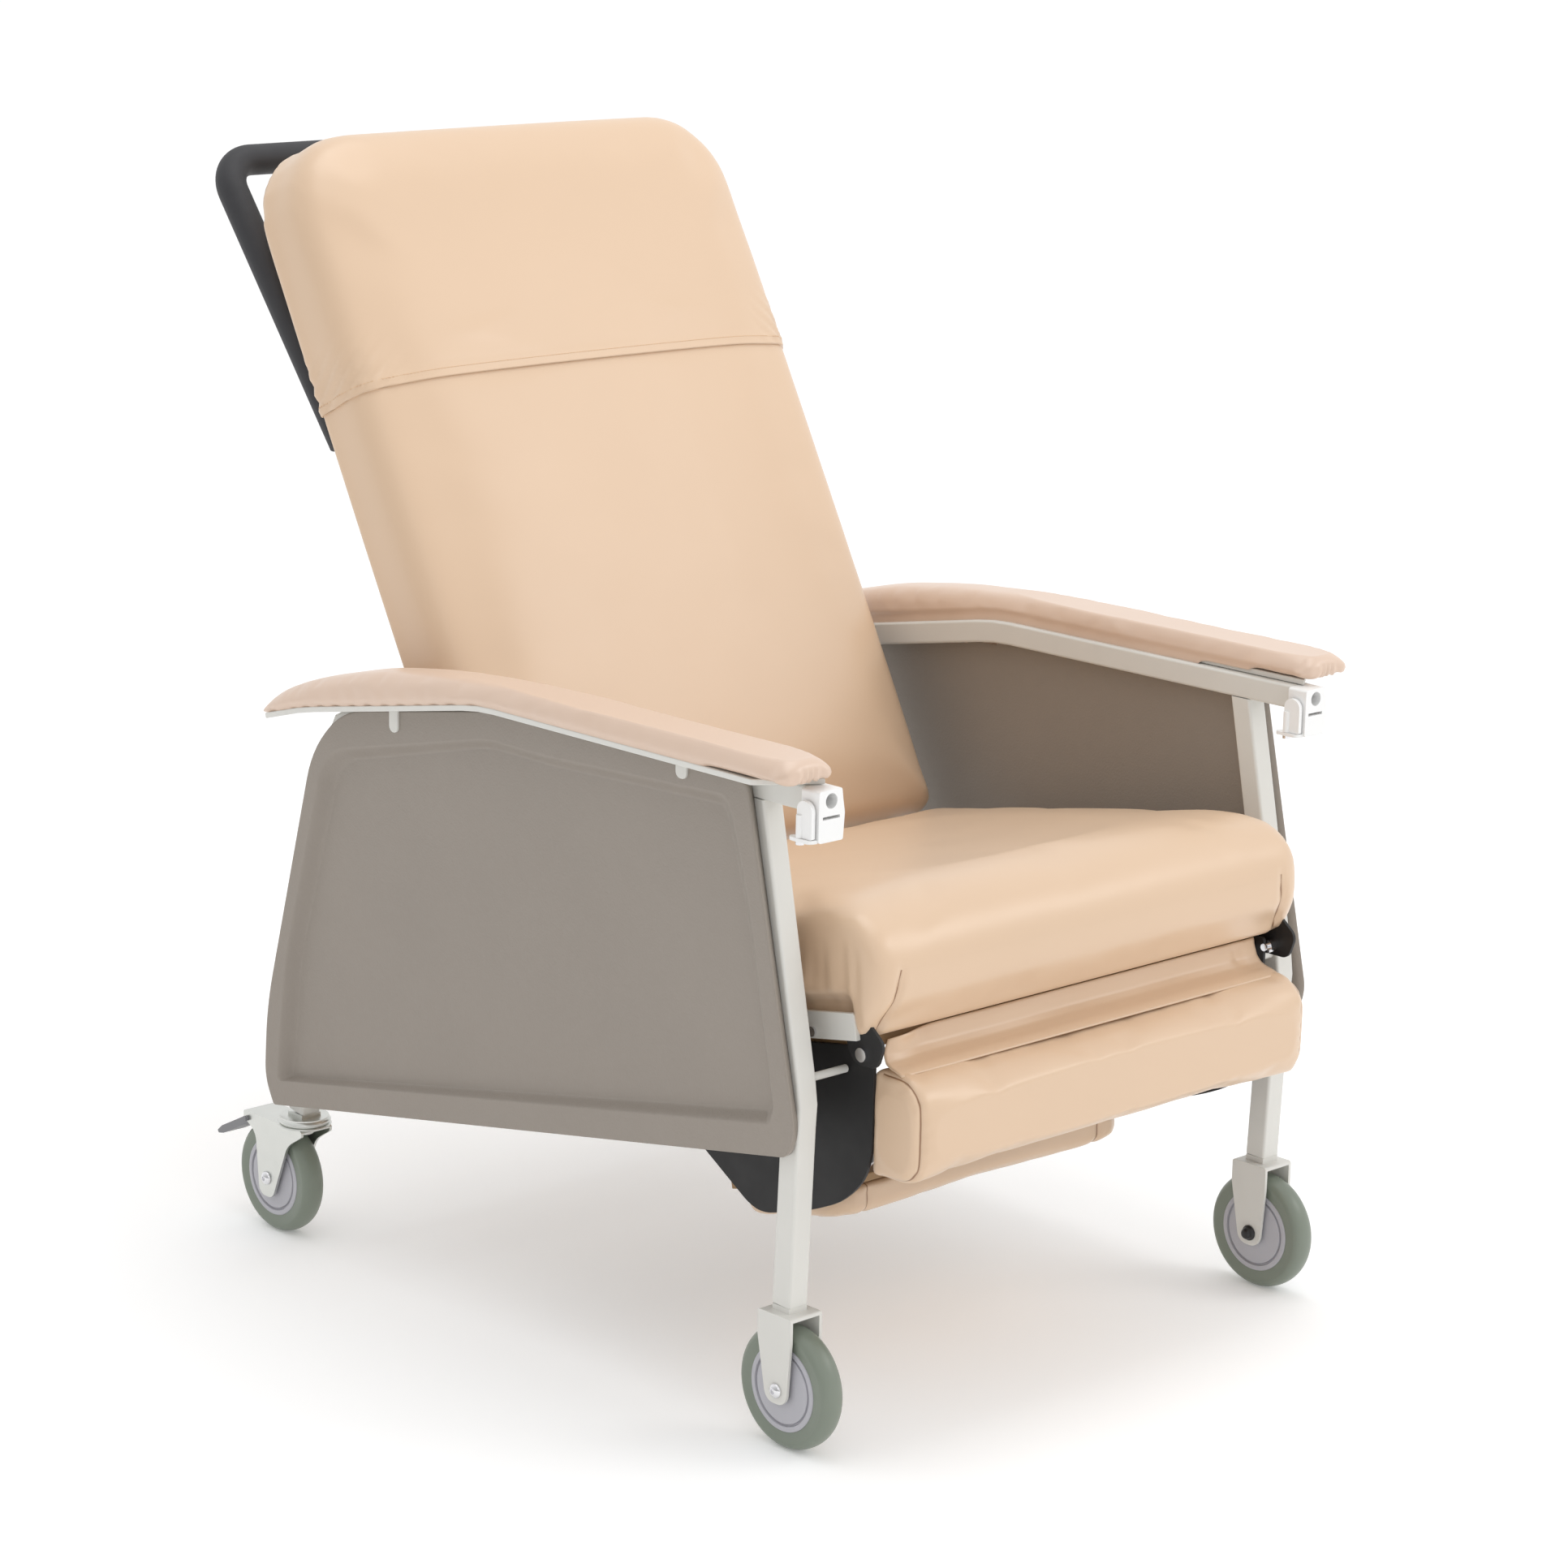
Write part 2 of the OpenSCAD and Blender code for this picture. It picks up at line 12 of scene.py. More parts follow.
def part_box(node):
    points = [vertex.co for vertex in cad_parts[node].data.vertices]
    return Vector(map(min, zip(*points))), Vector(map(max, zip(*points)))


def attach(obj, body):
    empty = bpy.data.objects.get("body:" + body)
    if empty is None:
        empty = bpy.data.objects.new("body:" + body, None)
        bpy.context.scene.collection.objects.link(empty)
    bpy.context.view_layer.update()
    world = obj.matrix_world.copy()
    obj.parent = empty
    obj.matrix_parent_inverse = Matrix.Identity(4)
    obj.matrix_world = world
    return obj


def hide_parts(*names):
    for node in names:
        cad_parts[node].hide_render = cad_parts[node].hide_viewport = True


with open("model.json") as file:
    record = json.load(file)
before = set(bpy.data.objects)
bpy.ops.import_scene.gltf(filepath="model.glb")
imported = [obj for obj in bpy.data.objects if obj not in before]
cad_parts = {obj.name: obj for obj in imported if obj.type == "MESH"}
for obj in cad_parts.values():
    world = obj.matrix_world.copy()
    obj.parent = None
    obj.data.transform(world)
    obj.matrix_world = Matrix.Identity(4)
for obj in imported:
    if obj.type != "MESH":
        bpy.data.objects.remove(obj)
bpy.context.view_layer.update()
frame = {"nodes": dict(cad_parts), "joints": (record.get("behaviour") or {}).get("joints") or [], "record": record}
scene = bpy.context.scene

CORNER_STEPS = 6
PANEL_BACK, PANEL_RIM, PANEL_SINK = 0.3633, 0.3760, 0.0118
TAB_BACK, TAB_FRONT, TAB_HEIGHT = 0.3755, 0.3785, 0.026
SEAT_SLOPE = math.radians(10.46)
BACK_LEAN = math.radians(28.5)
FOOT_LEAN = math.radians(13.7)

# ---- places of the tilted parts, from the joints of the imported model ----
joints = {j["name"]: j for j in frame["joints"]}


def pivot(name):
    return Vector(joints[name]["pos_m"])


def tilted(origin, angle):
    return Matrix.Translation(origin) @ Matrix.Rotation(-angle, 4, "X")


SEAT = tilted(pivot("leg_lift") + Vector((0, 0, 0.001)), SEAT_SLOPE)
BACK = tilted(pivot("back_recline") - Matrix.Rotation(-BACK_LEAN, 3, "X") @ Vector((0, 0.060, -0.025)),
              BACK_LEAN)
FOOT = tilted(pivot("foot_unfold") + Vector((0, 0.061, -0.106)), FOOT_LEAN)
LEVEL = Matrix.Identity(4)


# ---- camera, lights and floor ----
def set_camera():
    azimuth, elevation, roll = (math.radians(a) for a in (-43.38, 13.73, 1.06))
    back = Vector((math.sin(azimuth) * math.cos(elevation), -math.cos(azimuth) * math.cos(elevation),
                   math.sin(elevation)))
    side = Vector((0, 0, 1)).cross(back).normalized()
    up = back.cross(side)
    right = side * math.cos(roll) + up * math.sin(roll)
    top = up * math.cos(roll) - side * math.sin(roll)
    data = bpy.data.cameras.new("camera")
    data.sensor_width = 36
    data.lens = 98.36
    data.clip_end = 50
    camera = bpy.data.objects.new("camera", data)
    place = Matrix((right, top, back)).transposed().to_4x4()
    place.translation = Vector((-3.0557, -3.3094, 1.6248))
    camera.matrix_world = place
    scene.collection.objects.link(camera)
    scene.camera = camera


def soft_light(name, place, target, size, power):
    data = bpy.data.lights.new(name, "AREA")
    data.shape = "RECTANGLE"
    data.size, data.size_y = size
    data.energy = power
    light = bpy.data.objects.new(name, data)
    light.location = place
    light.rotation_euler = (Vector(target) - Vector(place)).to_track_quat("-Z", "Y").to_euler()
    scene.collection.objects.link(light)


def set_studio():
    scene.view_settings.view_transform = "Standard"
    world = bpy.data.worlds.new("studio")
    world.use_nodes = True
    tree = world.node_tree
    towards = add(tree, "ShaderNodeTexCoord").outputs["Generated"]
    leftward = add(tree, "ShaderNodeVectorMath", {0: towards, 1: (-0.80, -0.24, -0.50)},
                   operation="DOT_PRODUCT")
    shade = add(tree, "ShaderNodeMapRange",
                {"Value": leftward.outputs["Value"], 1: 0.0, 2: 0.9, 3: 0.98, 4: 0.34})
    tree.links.new(shade.outputs[0], tree.nodes["Background"].inputs["Strength"])
    tree.nodes["Background"].inputs["Color"].default_value = (1, 1, 1, 1)
    scene.world = world
    soft_light("key", (2.6, -3.0, 3.0), (0, 0, 0.6), (1.8, 1.4), 24)
    soft_light("window", (-2.6, -2.9, 2.2), (0, 0, 0.8), (0.5, 2.0), 5)
    soft_light("top", (0.2, 0.0, 3.8), (0, 0, 0.5), (2.2, 2.2), 26)
    bm = bmesh.new()
    bmesh.ops.create_grid(bm, x_segments=1, y_segments=1, size=30)
    floor = link_mesh("floor", bm)
    paper = bpy.data.materials.new("white paper")
    paper.use_nodes = True
    paper.node_tree.nodes["Principled BSDF"].inputs["Base Color"].default_value = (0.93, 0.93, 0.93, 1)
    paper.node_tree.nodes["Principled BSDF"].inputs["Roughness"].default_value = 0.9
    paper.node_tree.nodes["Principled BSDF"].inputs["Emission Color"].default_value = (1, 1, 1, 1)
    paper.node_tree.nodes["Principled BSDF"].inputs["Emission Strength"].default_value = 0.16
    floor.data.materials.append(paper)


# ---- mesh helpers ----
def link_mesh(name, bm, place=LEVEL):
    bm.transform(place)
    mesh = bpy.data.meshes.new(name)
    bm.to_mesh(mesh)
    bm.free()
    obj = bpy.data.objects.new(name, mesh)
    scene.collection.objects.link(obj)
    return obj


def made_real(obj):
    graph = bpy.context.evaluated_depsgraph_get()
    mesh = bpy.data.meshes.new_from_object(obj.evaluated_get(graph))
    obj.modifiers.clear()
    old, obj.data = obj.data, mesh
    bpy.data.meshes.remove(old)


def points_of(mesh):
    flat = np.empty(len(mesh.vertices) * 3)
    mesh.vertices.foreach_get("co", flat)
    return flat.reshape(-1, 3)


def normals_of(mesh):
    flat = np.empty(len(mesh.vertices) * 3, np.float32)
    mesh.vertex_normals.foreach_get("vector", flat)
    return flat.reshape(-1, 3).astype(float)


def move_points(obj, points):
    obj.data.vertices.foreach_set("co", points.ravel())
    obj.data.update()


def sculpt(obj, shape):
    move_points(obj, shape(points_of(obj.data), normals_of(obj.data)))


def step(low, high, value):
    t = np.clip((value - low) / (high - low), 0, 1)
    return t * t * (3 - 2 * t)


def bump_at(value, middle, width):
    return np.exp(-((value - middle) / width) ** 2)


def rounded_outline(bm, points, place):
    """Points are (a, b, cut): cut is how far the corner is rounded back along its edges."""
    corners = [bm.verts.new(place(a, b)) for a, b, cut in points]
    bm.faces.new(corners)
    for corner, (a, b, cut) in zip(corners, points):
        if cut:
            bmesh.ops.bevel(bm, geom=[corner], offset=cut, offset_type="OFFSET", segments=CORNER_STEPS,
                            profile=0.5, affect="VERTICES", material=-1)


def block(points, place, along):
    """A rounded outline pulled along a direction into a closed solid."""
    bm = bmesh.new()
    rounded_outline(bm, points, place)
    made = bmesh.ops.extrude_face_region(bm, geom=bm.faces[:])
    moved = [g for g in made["geom"] if isinstance(g, bmesh.types.BMVert)]
    bmesh.ops.translate(bm, vec=along, verts=moved)
    bmesh.ops.recalc_face_normals(bm, faces=bm.faces)
    return bm


def side_block(points, x0, x1):
    return block(points, lambda y, z: (x0, y, z), (x1 - x0, 0, 0))


def soften_edges(bm, edges, width, segments=3, clamp=True):
    bmesh.ops.bevel(bm, geom=edges, offset=width, offset_type="OFFSET", segments=segments, profile=0.5,
                    affect="EDGES", material=-1, clamp_overlap=clamp)


def sharp_edges(bm, angle=30, test=lambda e: True):
    limit = math.radians(angle)
    return [e for e in bm.edges if e.is_manifold and e.calc_face_angle(0) > limit and test(e)]


def clean_shading(obj, angle=38):
    obj.data.shade_smooth()
    obj.data.set_sharp_from_angle(angle=math.radians(angle))
    weighted = obj.modifiers.new("even normals", "WEIGHTED_NORMAL")
    weighted.keep_sharp = True


def turned(profile, steps=96):
    """A closed outline of (x, radius, cut) points spun about the X axis."""
    bm = bmesh.new()
    rounded_outline(bm, profile, lambda x, r: (x, 0, r))
    bmesh.ops.delete(bm, geom=bm.faces[:], context="FACES_ONLY")
    bmesh.ops.spin(bm, geom=bm.verts[:] + bm.edges[:], cent=(0, 0, 0), axis=(1, 0, 0), angle=math.tau,
                   steps=steps, use_merge=True)
    bmesh.ops.remove_doubles(bm, verts=bm.verts, dist=1e-5)
    bmesh.ops.recalc_face_normals(bm, faces=bm.faces)
    return bm


def cad_copy(name):
    bm = bmesh.new()
    bm.from_mesh(frame["nodes"][name].data)
    bmesh.ops.remove_doubles(bm, verts=bm.verts, dist=1e-5)
    bmesh.ops.dissolve_limit(bm, angle_limit=math.radians(1), verts=bm.verts, edges=bm.edges)
    return bm


def finish_piece(obj, body, material, nodes=()):
    obj.data.materials.clear()
    obj.data.materials.append(material)
    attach(obj, body)
    if nodes:
        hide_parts(*nodes)
    return obj


# ---- shader groups ----
def add(tree, kind, inputs=(), **settings):
    node = tree.nodes.new(kind)
    for key, value in settings.items():
        setattr(node, key, value)
    for key, value in dict(inputs).items():
        if isinstance(value, bpy.types.NodeSocket):
            tree.links.new(value, node.inputs[key])
        else:
            node.inputs[key].default_value = value
    return node


def math_node(tree, operation, a, b=0.0, clamp=False):
    return add(tree, "ShaderNodeMath", {0: a, 1: b}, operation=operation, use_clamp=clamp).outputs[0]


def new_group(name, inputs, outputs):
    group = bpy.data.node_groups.new(name, "ShaderNodeTree")
    for label, kind, default in inputs:
        group.interface.new_socket(name=label, in_out="INPUT", socket_type=kind).default_value = default
    for label, kind in outputs:
        group.interface.new_socket(name=label, in_out="OUTPUT", socket_type=kind)
    return group, group.nodes.new("NodeGroupInput").outputs, group.nodes.new("NodeGroupOutput").inputs


def make_tone_drift():
    group, given, result = new_group("tone drift", [
        ("Color", "NodeSocketColor", (0.8, 0.8, 0.8, 1)), ("Amount", "NodeSocketFloat", 0.05),
        ("Scale", "NodeSocketFloat", 10.0)], [("Color", "NodeSocketColor")])
    place = add(group, "ShaderNodeTexCoord").outputs["Object"]
    noise = add(group, "ShaderNodeTexNoise", {"Vector": place, "Scale": given["Scale"], "Detail": 3.0})
    swing = math_node(group, "SUBTRACT", noise.outputs["Fac"], 0.5)
    gain = math_node(group, "MULTIPLY_ADD", swing, given["Amount"])
    gain.node.inputs[2].default_value = 1.0
    scaled = add(group, "ShaderNodeVectorMath", {0: given["Color"], "Scale": gain}, operation="SCALE")
    group.links.new(scaled.outputs[0], result["Color"])
    return group


def make_polish():
    group, given, result = new_group("polish", [
        ("Roughness", "NodeSocketFloat", 0.4), ("Spread", "NodeSocketFloat", 0.1),
        ("Scale", "NodeSocketFloat", 20.0)], [("Roughness", "NodeSocketFloat")])
    place = add(group, "ShaderNodeTexCoord").outputs["Object"]
    noise = add(group, "ShaderNodeTexNoise", {"Vector": place, "Scale": given["Scale"], "Detail": 4.0})
    swing = math_node(group, "SUBTRACT", noise.outputs["Fac"], 0.5)
    spread = math_node(group, "MULTIPLY", swing, given["Spread"])
    total = math_node(group, "ADD", spread, given["Roughness"], clamp=True)
    group.links.new(total, result["Roughness"])
    return group


def make_grain():
    group, given, result = new_group("moulded grain", [
        ("Scale", "NodeSocketFloat", 900.0), ("Cells", "NodeSocketFloat", 0.3)],
                                     [("Height", "NodeSocketFloat")])
    place = add(group, "ShaderNodeTexCoord").outputs["Object"]
    noise = add(group, "ShaderNodeTexNoise", {"Vector": place, "Scale": given["Scale"], "Detail": 2.0})
    cells = add(group, "ShaderNodeTexVoronoi", {"Vector": place, "Scale": given["Scale"]},
                feature="SMOOTH_F1")
    mixed = add(group, "ShaderNodeMix", {"Factor": given["Cells"], 2: noise.outputs["Fac"],
                                        3: cells.outputs["Distance"]}, data_type="FLOAT")
    group.links.new(mixed.outputs[0], result["Height"])
    return group


def make_sewn_seam():
    """Dark closing line and soft dip where a piece carries its distance to the seam."""
    group, given, result = new_group("sewn seam", [
        ("Distance", "NodeSocketFloat", 1.0), ("Width", "NodeSocketFloat", 0.0007)],
        [("Line", "NodeSocketFloat"), ("Dip", "NodeSocketFloat")])
    away = math_node(group, "ABSOLUTE", given["Distance"])
    ratio = math_node(group, "DIVIDE", away, given["Width"])
    line = math_node(group, "SUBTRACT", 1.6, ratio, clamp=True)
    dip = math_node(group, "MULTIPLY", ratio, 0.3, clamp=True)
    group.links.new(line, result["Line"])
    group.links.new(dip, result["Dip"])
    return group


TONE, POLISH, GRAIN, SEAM = make_tone_drift(), make_polish(), make_grain(), make_sewn_seam()


def use_group(tree, group, inputs):
    node = tree.nodes.new("ShaderNodeGroup")
    node.node_tree = group
    for key, value in inputs.items():
        if isinstance(value, bpy.types.NodeSocket):
            tree.links.new(value, node.inputs[key])
        else:
            node.inputs[key].default_value = value
    return node


def surface(name, color, roughness, drift=(0.06, 9), spread=(0.1, 30), grain=(900, 0.3, 0.00003), seam=None,
            **shader):
    """Base colour with slow drift, uneven polish and fine grain; seam adds a sewn line from an attribute."""
    material = bpy.data.materials.new(name)
    material.use_nodes = True
    tree = material.node_tree
    body = tree.nodes["Principled BSDF"]
    tone = use_group(tree, TONE, {"Color": (*color, 1), "Amount": drift[0], "Scale": drift[1]}).outputs[0]
    height = use_group(tree, GRAIN, {"Scale": grain[0], "Cells": grain[1]}).outputs[0]
    polish = use_group(tree, POLISH, {"Roughness": roughness, "Spread": spread[0],
                                      "Scale": spread[1]}).outputs[0]
    bump = add(tree, "ShaderNodeBump", {"Height": height, "Distance": grain[2]})
    if seam:
        away = add(tree, "ShaderNodeAttribute", attribute_name="seam").outputs["Fac"]
        sewn = use_group(tree, SEAM, {"Distance": away, "Width": seam})
        dark = tuple(c * s for c, s in zip(color, (0.42, 0.30, 0.22)))
        mix = add(tree, "ShaderNodeMix", {"Factor": sewn.outputs["Line"], 6: tone, 7: (*dark, 1)},
                  data_type="RGBA")
        tone = mix.outputs[2]
        bump = add(tree, "ShaderNodeBump", {"Height": sewn.outputs["Dip"], "Distance": 0.0008,
                                             "Normal": bump.outputs[0]})
    tree.links.new(tone, body.inputs["Base Color"])
    tree.links.new(polish, body.inputs["Roughness"])
    tree.links.new(bump.outputs[0], body.inputs["Normal"])
    for key, value in shader.items():
        body.inputs[key.replace("_", " ").title().replace("Ior", "IOR")].default_value = value
    return material


VINYL = (0.70, 0.505, 0.345)
ARM_VINYL = (0.70, 0.525, 0.41)
SHEEN = {"coat_weight": 0.45, "coat_roughness": 0.30}
FINISHES = {
    "vinyl_cushion": surface("tan vinyl", VINYL, 0.40, (0.05, 5), (0.12, 14), (1500, 0.5, 0.00003),
                             seam=0.0007, **SHEEN),
    "vinyl_sheet": surface("tan vinyl cover", VINYL, 0.40, (0.05, 5), (0.12, 14), (1500, 0.5, 0.00003),
                           **SHEEN),
    "vinyl_arm": surface("rose tan vinyl", ARM_VINYL, 0.40, (0.05, 6), (0.12, 16), (1500, 0.5, 0.00003),
                         **SHEEN),
    "frame_paint": surface("satin off-white paint", (0.70, 0.69, 0.65), 0.38, (0.05, 25), (0.12, 60),
                           (700, 0.2, 0.00004)),
    "panel_plastic": surface("orange peel taupe", (0.30, 0.262, 0.225), 0.52, (0.08, 7), (0.16, 120),
                             (420, 0.45, 0.0004)),
    "zinc": surface("bright zinc plate", (0.66, 0.67, 0.64), 0.30, (0.1, 40), (0.12, 70),
                    (500, 0.3, 0.00003), metallic=1.0),
    "steel": surface("plain steel strip", (0.50, 0.50, 0.51), 0.42, (0.2, 30), (0.3, 60),
                     (600, 0.2, 0.00004), metallic=0.9),
    "bolt_steel": surface("polished bolt", (0.78, 0.78, 0.80), 0.16, (0.1, 90), (0.12, 200),
                          (900, 0.2, 0.00001), metallic=1.0),
    "board": surface("plywood", (0.36, 0.23, 0.12), 0.7, (0.5, 18), (0.2, 50), (300, 0.2, 0.0002)),
    "white_plastic": surface("white nylon", (0.88, 0.88, 0.87), 0.33, (0.03, 30), (0.1, 60),
                             (900, 0.3, 0.00003)),
    "hub_plastic": surface("light grey hub", (0.46, 0.455, 0.49), 0.45, (0.05, 30), (0.1, 80),
                           (1100, 0.3, 0.00004)),
    "tyre_rubber": surface("grey green tread", (0.205, 0.235, 0.19), 0.36, (0.1, 22), (0.16, 60),
                           (600, 0.3, 0.00005)),
    "black_plastic": surface("satin black sheet", (0.010, 0.0095, 0.010), 0.55, (0.2, 20), (0.2, 40),
                             (700, 0.3, 0.00005)),
    "pedal_grey": surface("moulded grey pedal", (0.22, 0.22, 0.23), 0.5, (0.1, 30), (0.1, 60),
                          (900, 0.3, 0.00005)),
    "foam_black": surface("foam sleeve", (0.032, 0.032, 0.036), 0.62, (0.2, 60), (0.1, 90),
                          (1100, 0.7, 0.00012)),
    "thread": surface("tan thread", (0.72, 0.50, 0.31), 0.7, (0.1, 400), (0.1, 300), (2500, 0.2, 0.00005)),
    "cap_black": surface("black cap nut", (0.012, 0.012, 0.013), 0.3, (0.2, 60), (0.1, 60),
                         (900, 0.3, 0.00003)),
}


# ---- padding ----
def puffed(obj, voxel, cap, held, pressure=4.0, frames=20):
    """Evens the mesh out, then swells it like foam under a cover; held(points) says which points stay."""
    remesh = obj.modifiers.new("even mesh", "REMESH")
    remesh.mode = "VOXEL"
    remesh.voxel_size = voxel
    made_real(obj)
    rest = points_of(obj.data)
    group = obj.vertex_groups.new(name="held")
    group.add([int(i) for i in np.nonzero(held(rest))[0]], 1.0, "REPLACE")
    cloth = obj.modifiers.new("filling", "CLOTH")
    cloth.settings.use_pressure = True
    cloth.settings.uniform_pressure_force = pressure
    cloth.settings.effector_weights.gravity = 0
    cloth.settings.vertex_group_mass = "held"
    cloth.settings.shrink_min = -0.012
    cloth.point_cache.frame_start = 1
    cloth.point_cache.frame_end = frames
    for number in range(1, frames + 1):
        scene.frame_set(number)
    graph = bpy.context.evaluated_depsgraph_get()
    swollen = points_of(obj.evaluated_get(graph).data)
    obj.modifiers.remove(cloth)
    scene.frame_set(1)
    moved = swollen - rest
    length = np.linalg.norm(moved, axis=1, keepdims=True)
    move_points(obj, rest + moved * np.minimum(1, cap / np.maximum(length, 1e-9)))
    obj.vertex_groups.clear()


def relaxed(obj, times):
    bm = bmesh.new()
    bm.from_mesh(obj.data)
    for _ in range(times):
        bmesh.ops.smooth_vert(bm, verts=bm.verts, factor=0.5, use_axis_x=True, use_axis_y=True,
                              use_axis_z=True)
    bm.to_mesh(obj.data)
    bm.free()


def finer(obj):
    smooth = obj.modifiers.new("finer", "SUBSURF")
    smooth.levels = smooth.render_levels = 1
    made_real(obj)


def mark_seam(obj, distance):
    """Stores each point's distance to its seam, which the vinyl draws as a sewn line."""
    layer = obj.data.attributes.new("seam", "FLOAT", "POINT")
    layer.data.foreach_set("value", distance.astype(np.float32))


def settled(obj, place, body, slot, nodes):
    obj.data.transform(place)
    obj.data.update()
    obj.data.shade_smooth()
    finish_piece(obj, body, FINISHES[slot], nodes)
    return obj


def make_seat():
    half = 0.309
    outline = [(0.008, 0.0124, 0.006), (-0.012, 0.0140, 0.008), (-0.044, 0.056, 0.034),
               (-0.034, 0.124, 0.036), (0.020, 0.139, 0.028),
               (0.496, 0.138, 0.014), (0.478, 0.0124, 0.008)]
    bm = side_block(outline, -half, half)
    soften_edges(bm, sharp_edges(bm, 60, lambda e: abs(e.verts[0].co.x - e.verts[1].co.x) < 1e-6), 0.020, 5,
                 False)
    obj = link_mesh("seat_cushion_vinyl", bm)
    puffed(obj, 0.008, 0.008, lambda p: p[:, 2] < 0.020)
    relaxed(obj, 3)
    finer(obj)

    def shape(p, n):
        p[:, 0] *= 0.3155 / np.abs(p[:, 0]).max()
        p[:, 1] -= 0.008 * step(0.05, -0.02, p[:, 1]) * step(0.02, 0.05, p[:, 2])
        x, y, z = p[:, 0].copy(), p[:, 1].copy(), p[:, 2].copy()
        across = np.clip(1 - (x / 0.31) ** 2, 0, 1)
        p[:, 2] -= 0.003 * step(0.32, 0.50, y) * step(0.08, 0.13, z)
        p[:, 2] += 0.010 * step(0.09, 0.135, z) * across * np.clip(1 - ((y - 0.23) / 0.32) ** 2, 0, 1)
        p[:, 1] -= 0.004 * across * step(0.03, -0.03, y) * step(0.02, 0.06, z)
        outer = step(0.280, 0.304, np.abs(x))
        gathers = (np.sin(y * math.tau / 0.031 + 1.6 * np.sin(y * 55) + z * 20)
                   + 0.5 * np.sin(y * 410 + z * 31))
        fade = outer * step(0.17, 0.05, y) * step(0.120, 0.08, z) * step(-0.028, 0.0, y)
        p += n * (0.0009 * gathers * fade)[:, None]
        closing = np.abs(x) - np.interp(z, (0.014, 0.040, 0.080, 0.110), (0.292, 0.284, 0.277, 0.276))
        ear = step(0.092, 0.060, z) * step(0.012, -0.006, y)
        p -= n * (0.0042 * bump_at(closing, 0, 0.0042) * ear)[:, None]
        p[:, 0] += (np.sign(x) * 0.004 * bump_at(z, 0.045, 0.03) * bump_at(y, -0.012, 0.022)
                    * step(0.0, 0.008, closing))
        inward = step(0.064, 0.046, z) * step(0.2, 0.29, np.abs(x)) * step(-0.008, 0.020, y)
        p[:, 0] *= 1 - (1 - 0.2975 / 0.3135) * inward
        mark_seam(obj, np.where(ear > 0.30, closing, 1.0))
        return np.clip(p, np.array((-0.3165, -0.0575, 0.0108)), np.array((0.3165, 0.4985, 0.1525)))

    sculpt(obj, shape)
    settled(obj, SEAT, "chair_frame", "vinyl_cushion", ["seat_cushion"])


def make_back():
    half, length = 0.309, 0.852
    outline = [(-half, -0.010, 0.012), (half, -0.010, 0.012), (half, length, 0.096), (-half, length, 0.096)]
    bm = block(outline, lambda x, s: (x, 0.074, s), (0, -0.078, 0))
    front = sharp_edges(bm, 60, lambda e: max(v.co.y for v in e.verts) < -0.003)
    soften_edges(bm, front, 0.030, 6, False)
    rear = sharp_edges(bm, 60, lambda e: min(v.co.y for v in e.verts) > 0.073)
    soften_edges(bm, rear, 0.004, 3, False)
    obj = link_mesh("back_cushion_vinyl", bm)
    puffed(obj, 0.009, 0.008, lambda p: p[:, 1] > 0.068)
    relaxed(obj, 4)
    finer(obj)

    def shape(p, n):
        p[:, 0] *= 0.3115 / np.abs(p[:, 0]).max()
        p[:, 2] += (0.8535 - p[:, 2].max()) * step(0.70, 0.85, p[:, 2])
        x, y, s = p[:, 0].copy(), p[:, 1].copy(), p[:, 2].copy()
        front = step(0.055, 0.0, y)
        across = np.clip(1 - (x / 0.312) ** 2, 0, 1) ** 0.7
        upright = np.clip(1 - ((s - 0.44) / 0.46) ** 4, 0, 1)
        p[:, 1] -= 0.013 * front * across * upright
        p[:, 0] += (np.sign(x) * 0.003 * step(0.25, 0.3, np.abs(x))
                    * np.clip(1 - ((s - 0.42) / 0.40) ** 2, 0, 1))
        p[:, 1] -= 0.0022 * front * bump_at(s, 0.603, 0.010) * step(-0.22, -0.10, x) * step(0.24, 0.02, x)
        p[:, 1] += 0.0016 * front * bump_at(s, 0.560, 0.012) * across
        side = step(0.235, 0.295, np.abs(x)) * step(0.552, 0.560, s) * step(0.64, 0.575, s)
        folds = np.sin((s * 0.8 + np.abs(x) * 0.55 + y * 0.5) * math.tau / 0.0155)
        p += n * (0.0014 * folds * side)[:, None]
        low, high = np.array((-0.3165, -0.024, -0.012)), np.array((0.3165, 0.0744, 0.856))
        return np.clip(p, low, high)

    sculpt(obj, shape)
    mark_seam(obj, np.full(len(obj.data.vertices), 1.0))
    return obj


def cut_line(mesh, plane_point, plane_normal):
    """The ordered points where a plane cuts a mesh once round."""
    bm = bmesh.new()
    bm.from_mesh(mesh)
    made = bmesh.ops.bisect_plane(bm, geom=bm.verts[:] + bm.edges[:] + bm.faces[:], dist=1e-7,
                                  plane_co=plane_point, plane_no=plane_normal)
    edges = {g for g in made["geom_cut"] if isinstance(g, bmesh.types.BMEdge)}
    vert = min((v for e in edges for v in e.verts), key=lambda v: (-v.co.y, v.co.x))
    line, used = [vert.co.copy()], set()
    while True:
        following = [e for e in vert.link_edges if e in edges and e not in used]
        if not following:
            break
        used.add(following[0])
        vert = following[0].other_vert(vert)
        line.append(vert.co.copy())
    bm.free()
    return line


def along_line(line, pitch):
    """Points with directions every pitch along a line."""
    carried, found = 0.0, []
    for a, b in zip(line, line[1:]):
        length = (b - a).length
        while length > 0 and carried < length:
            found.append((a.lerp(b, carried / length), (b - a).normalized()))
            carried += pitch
        carried -= length
    return found


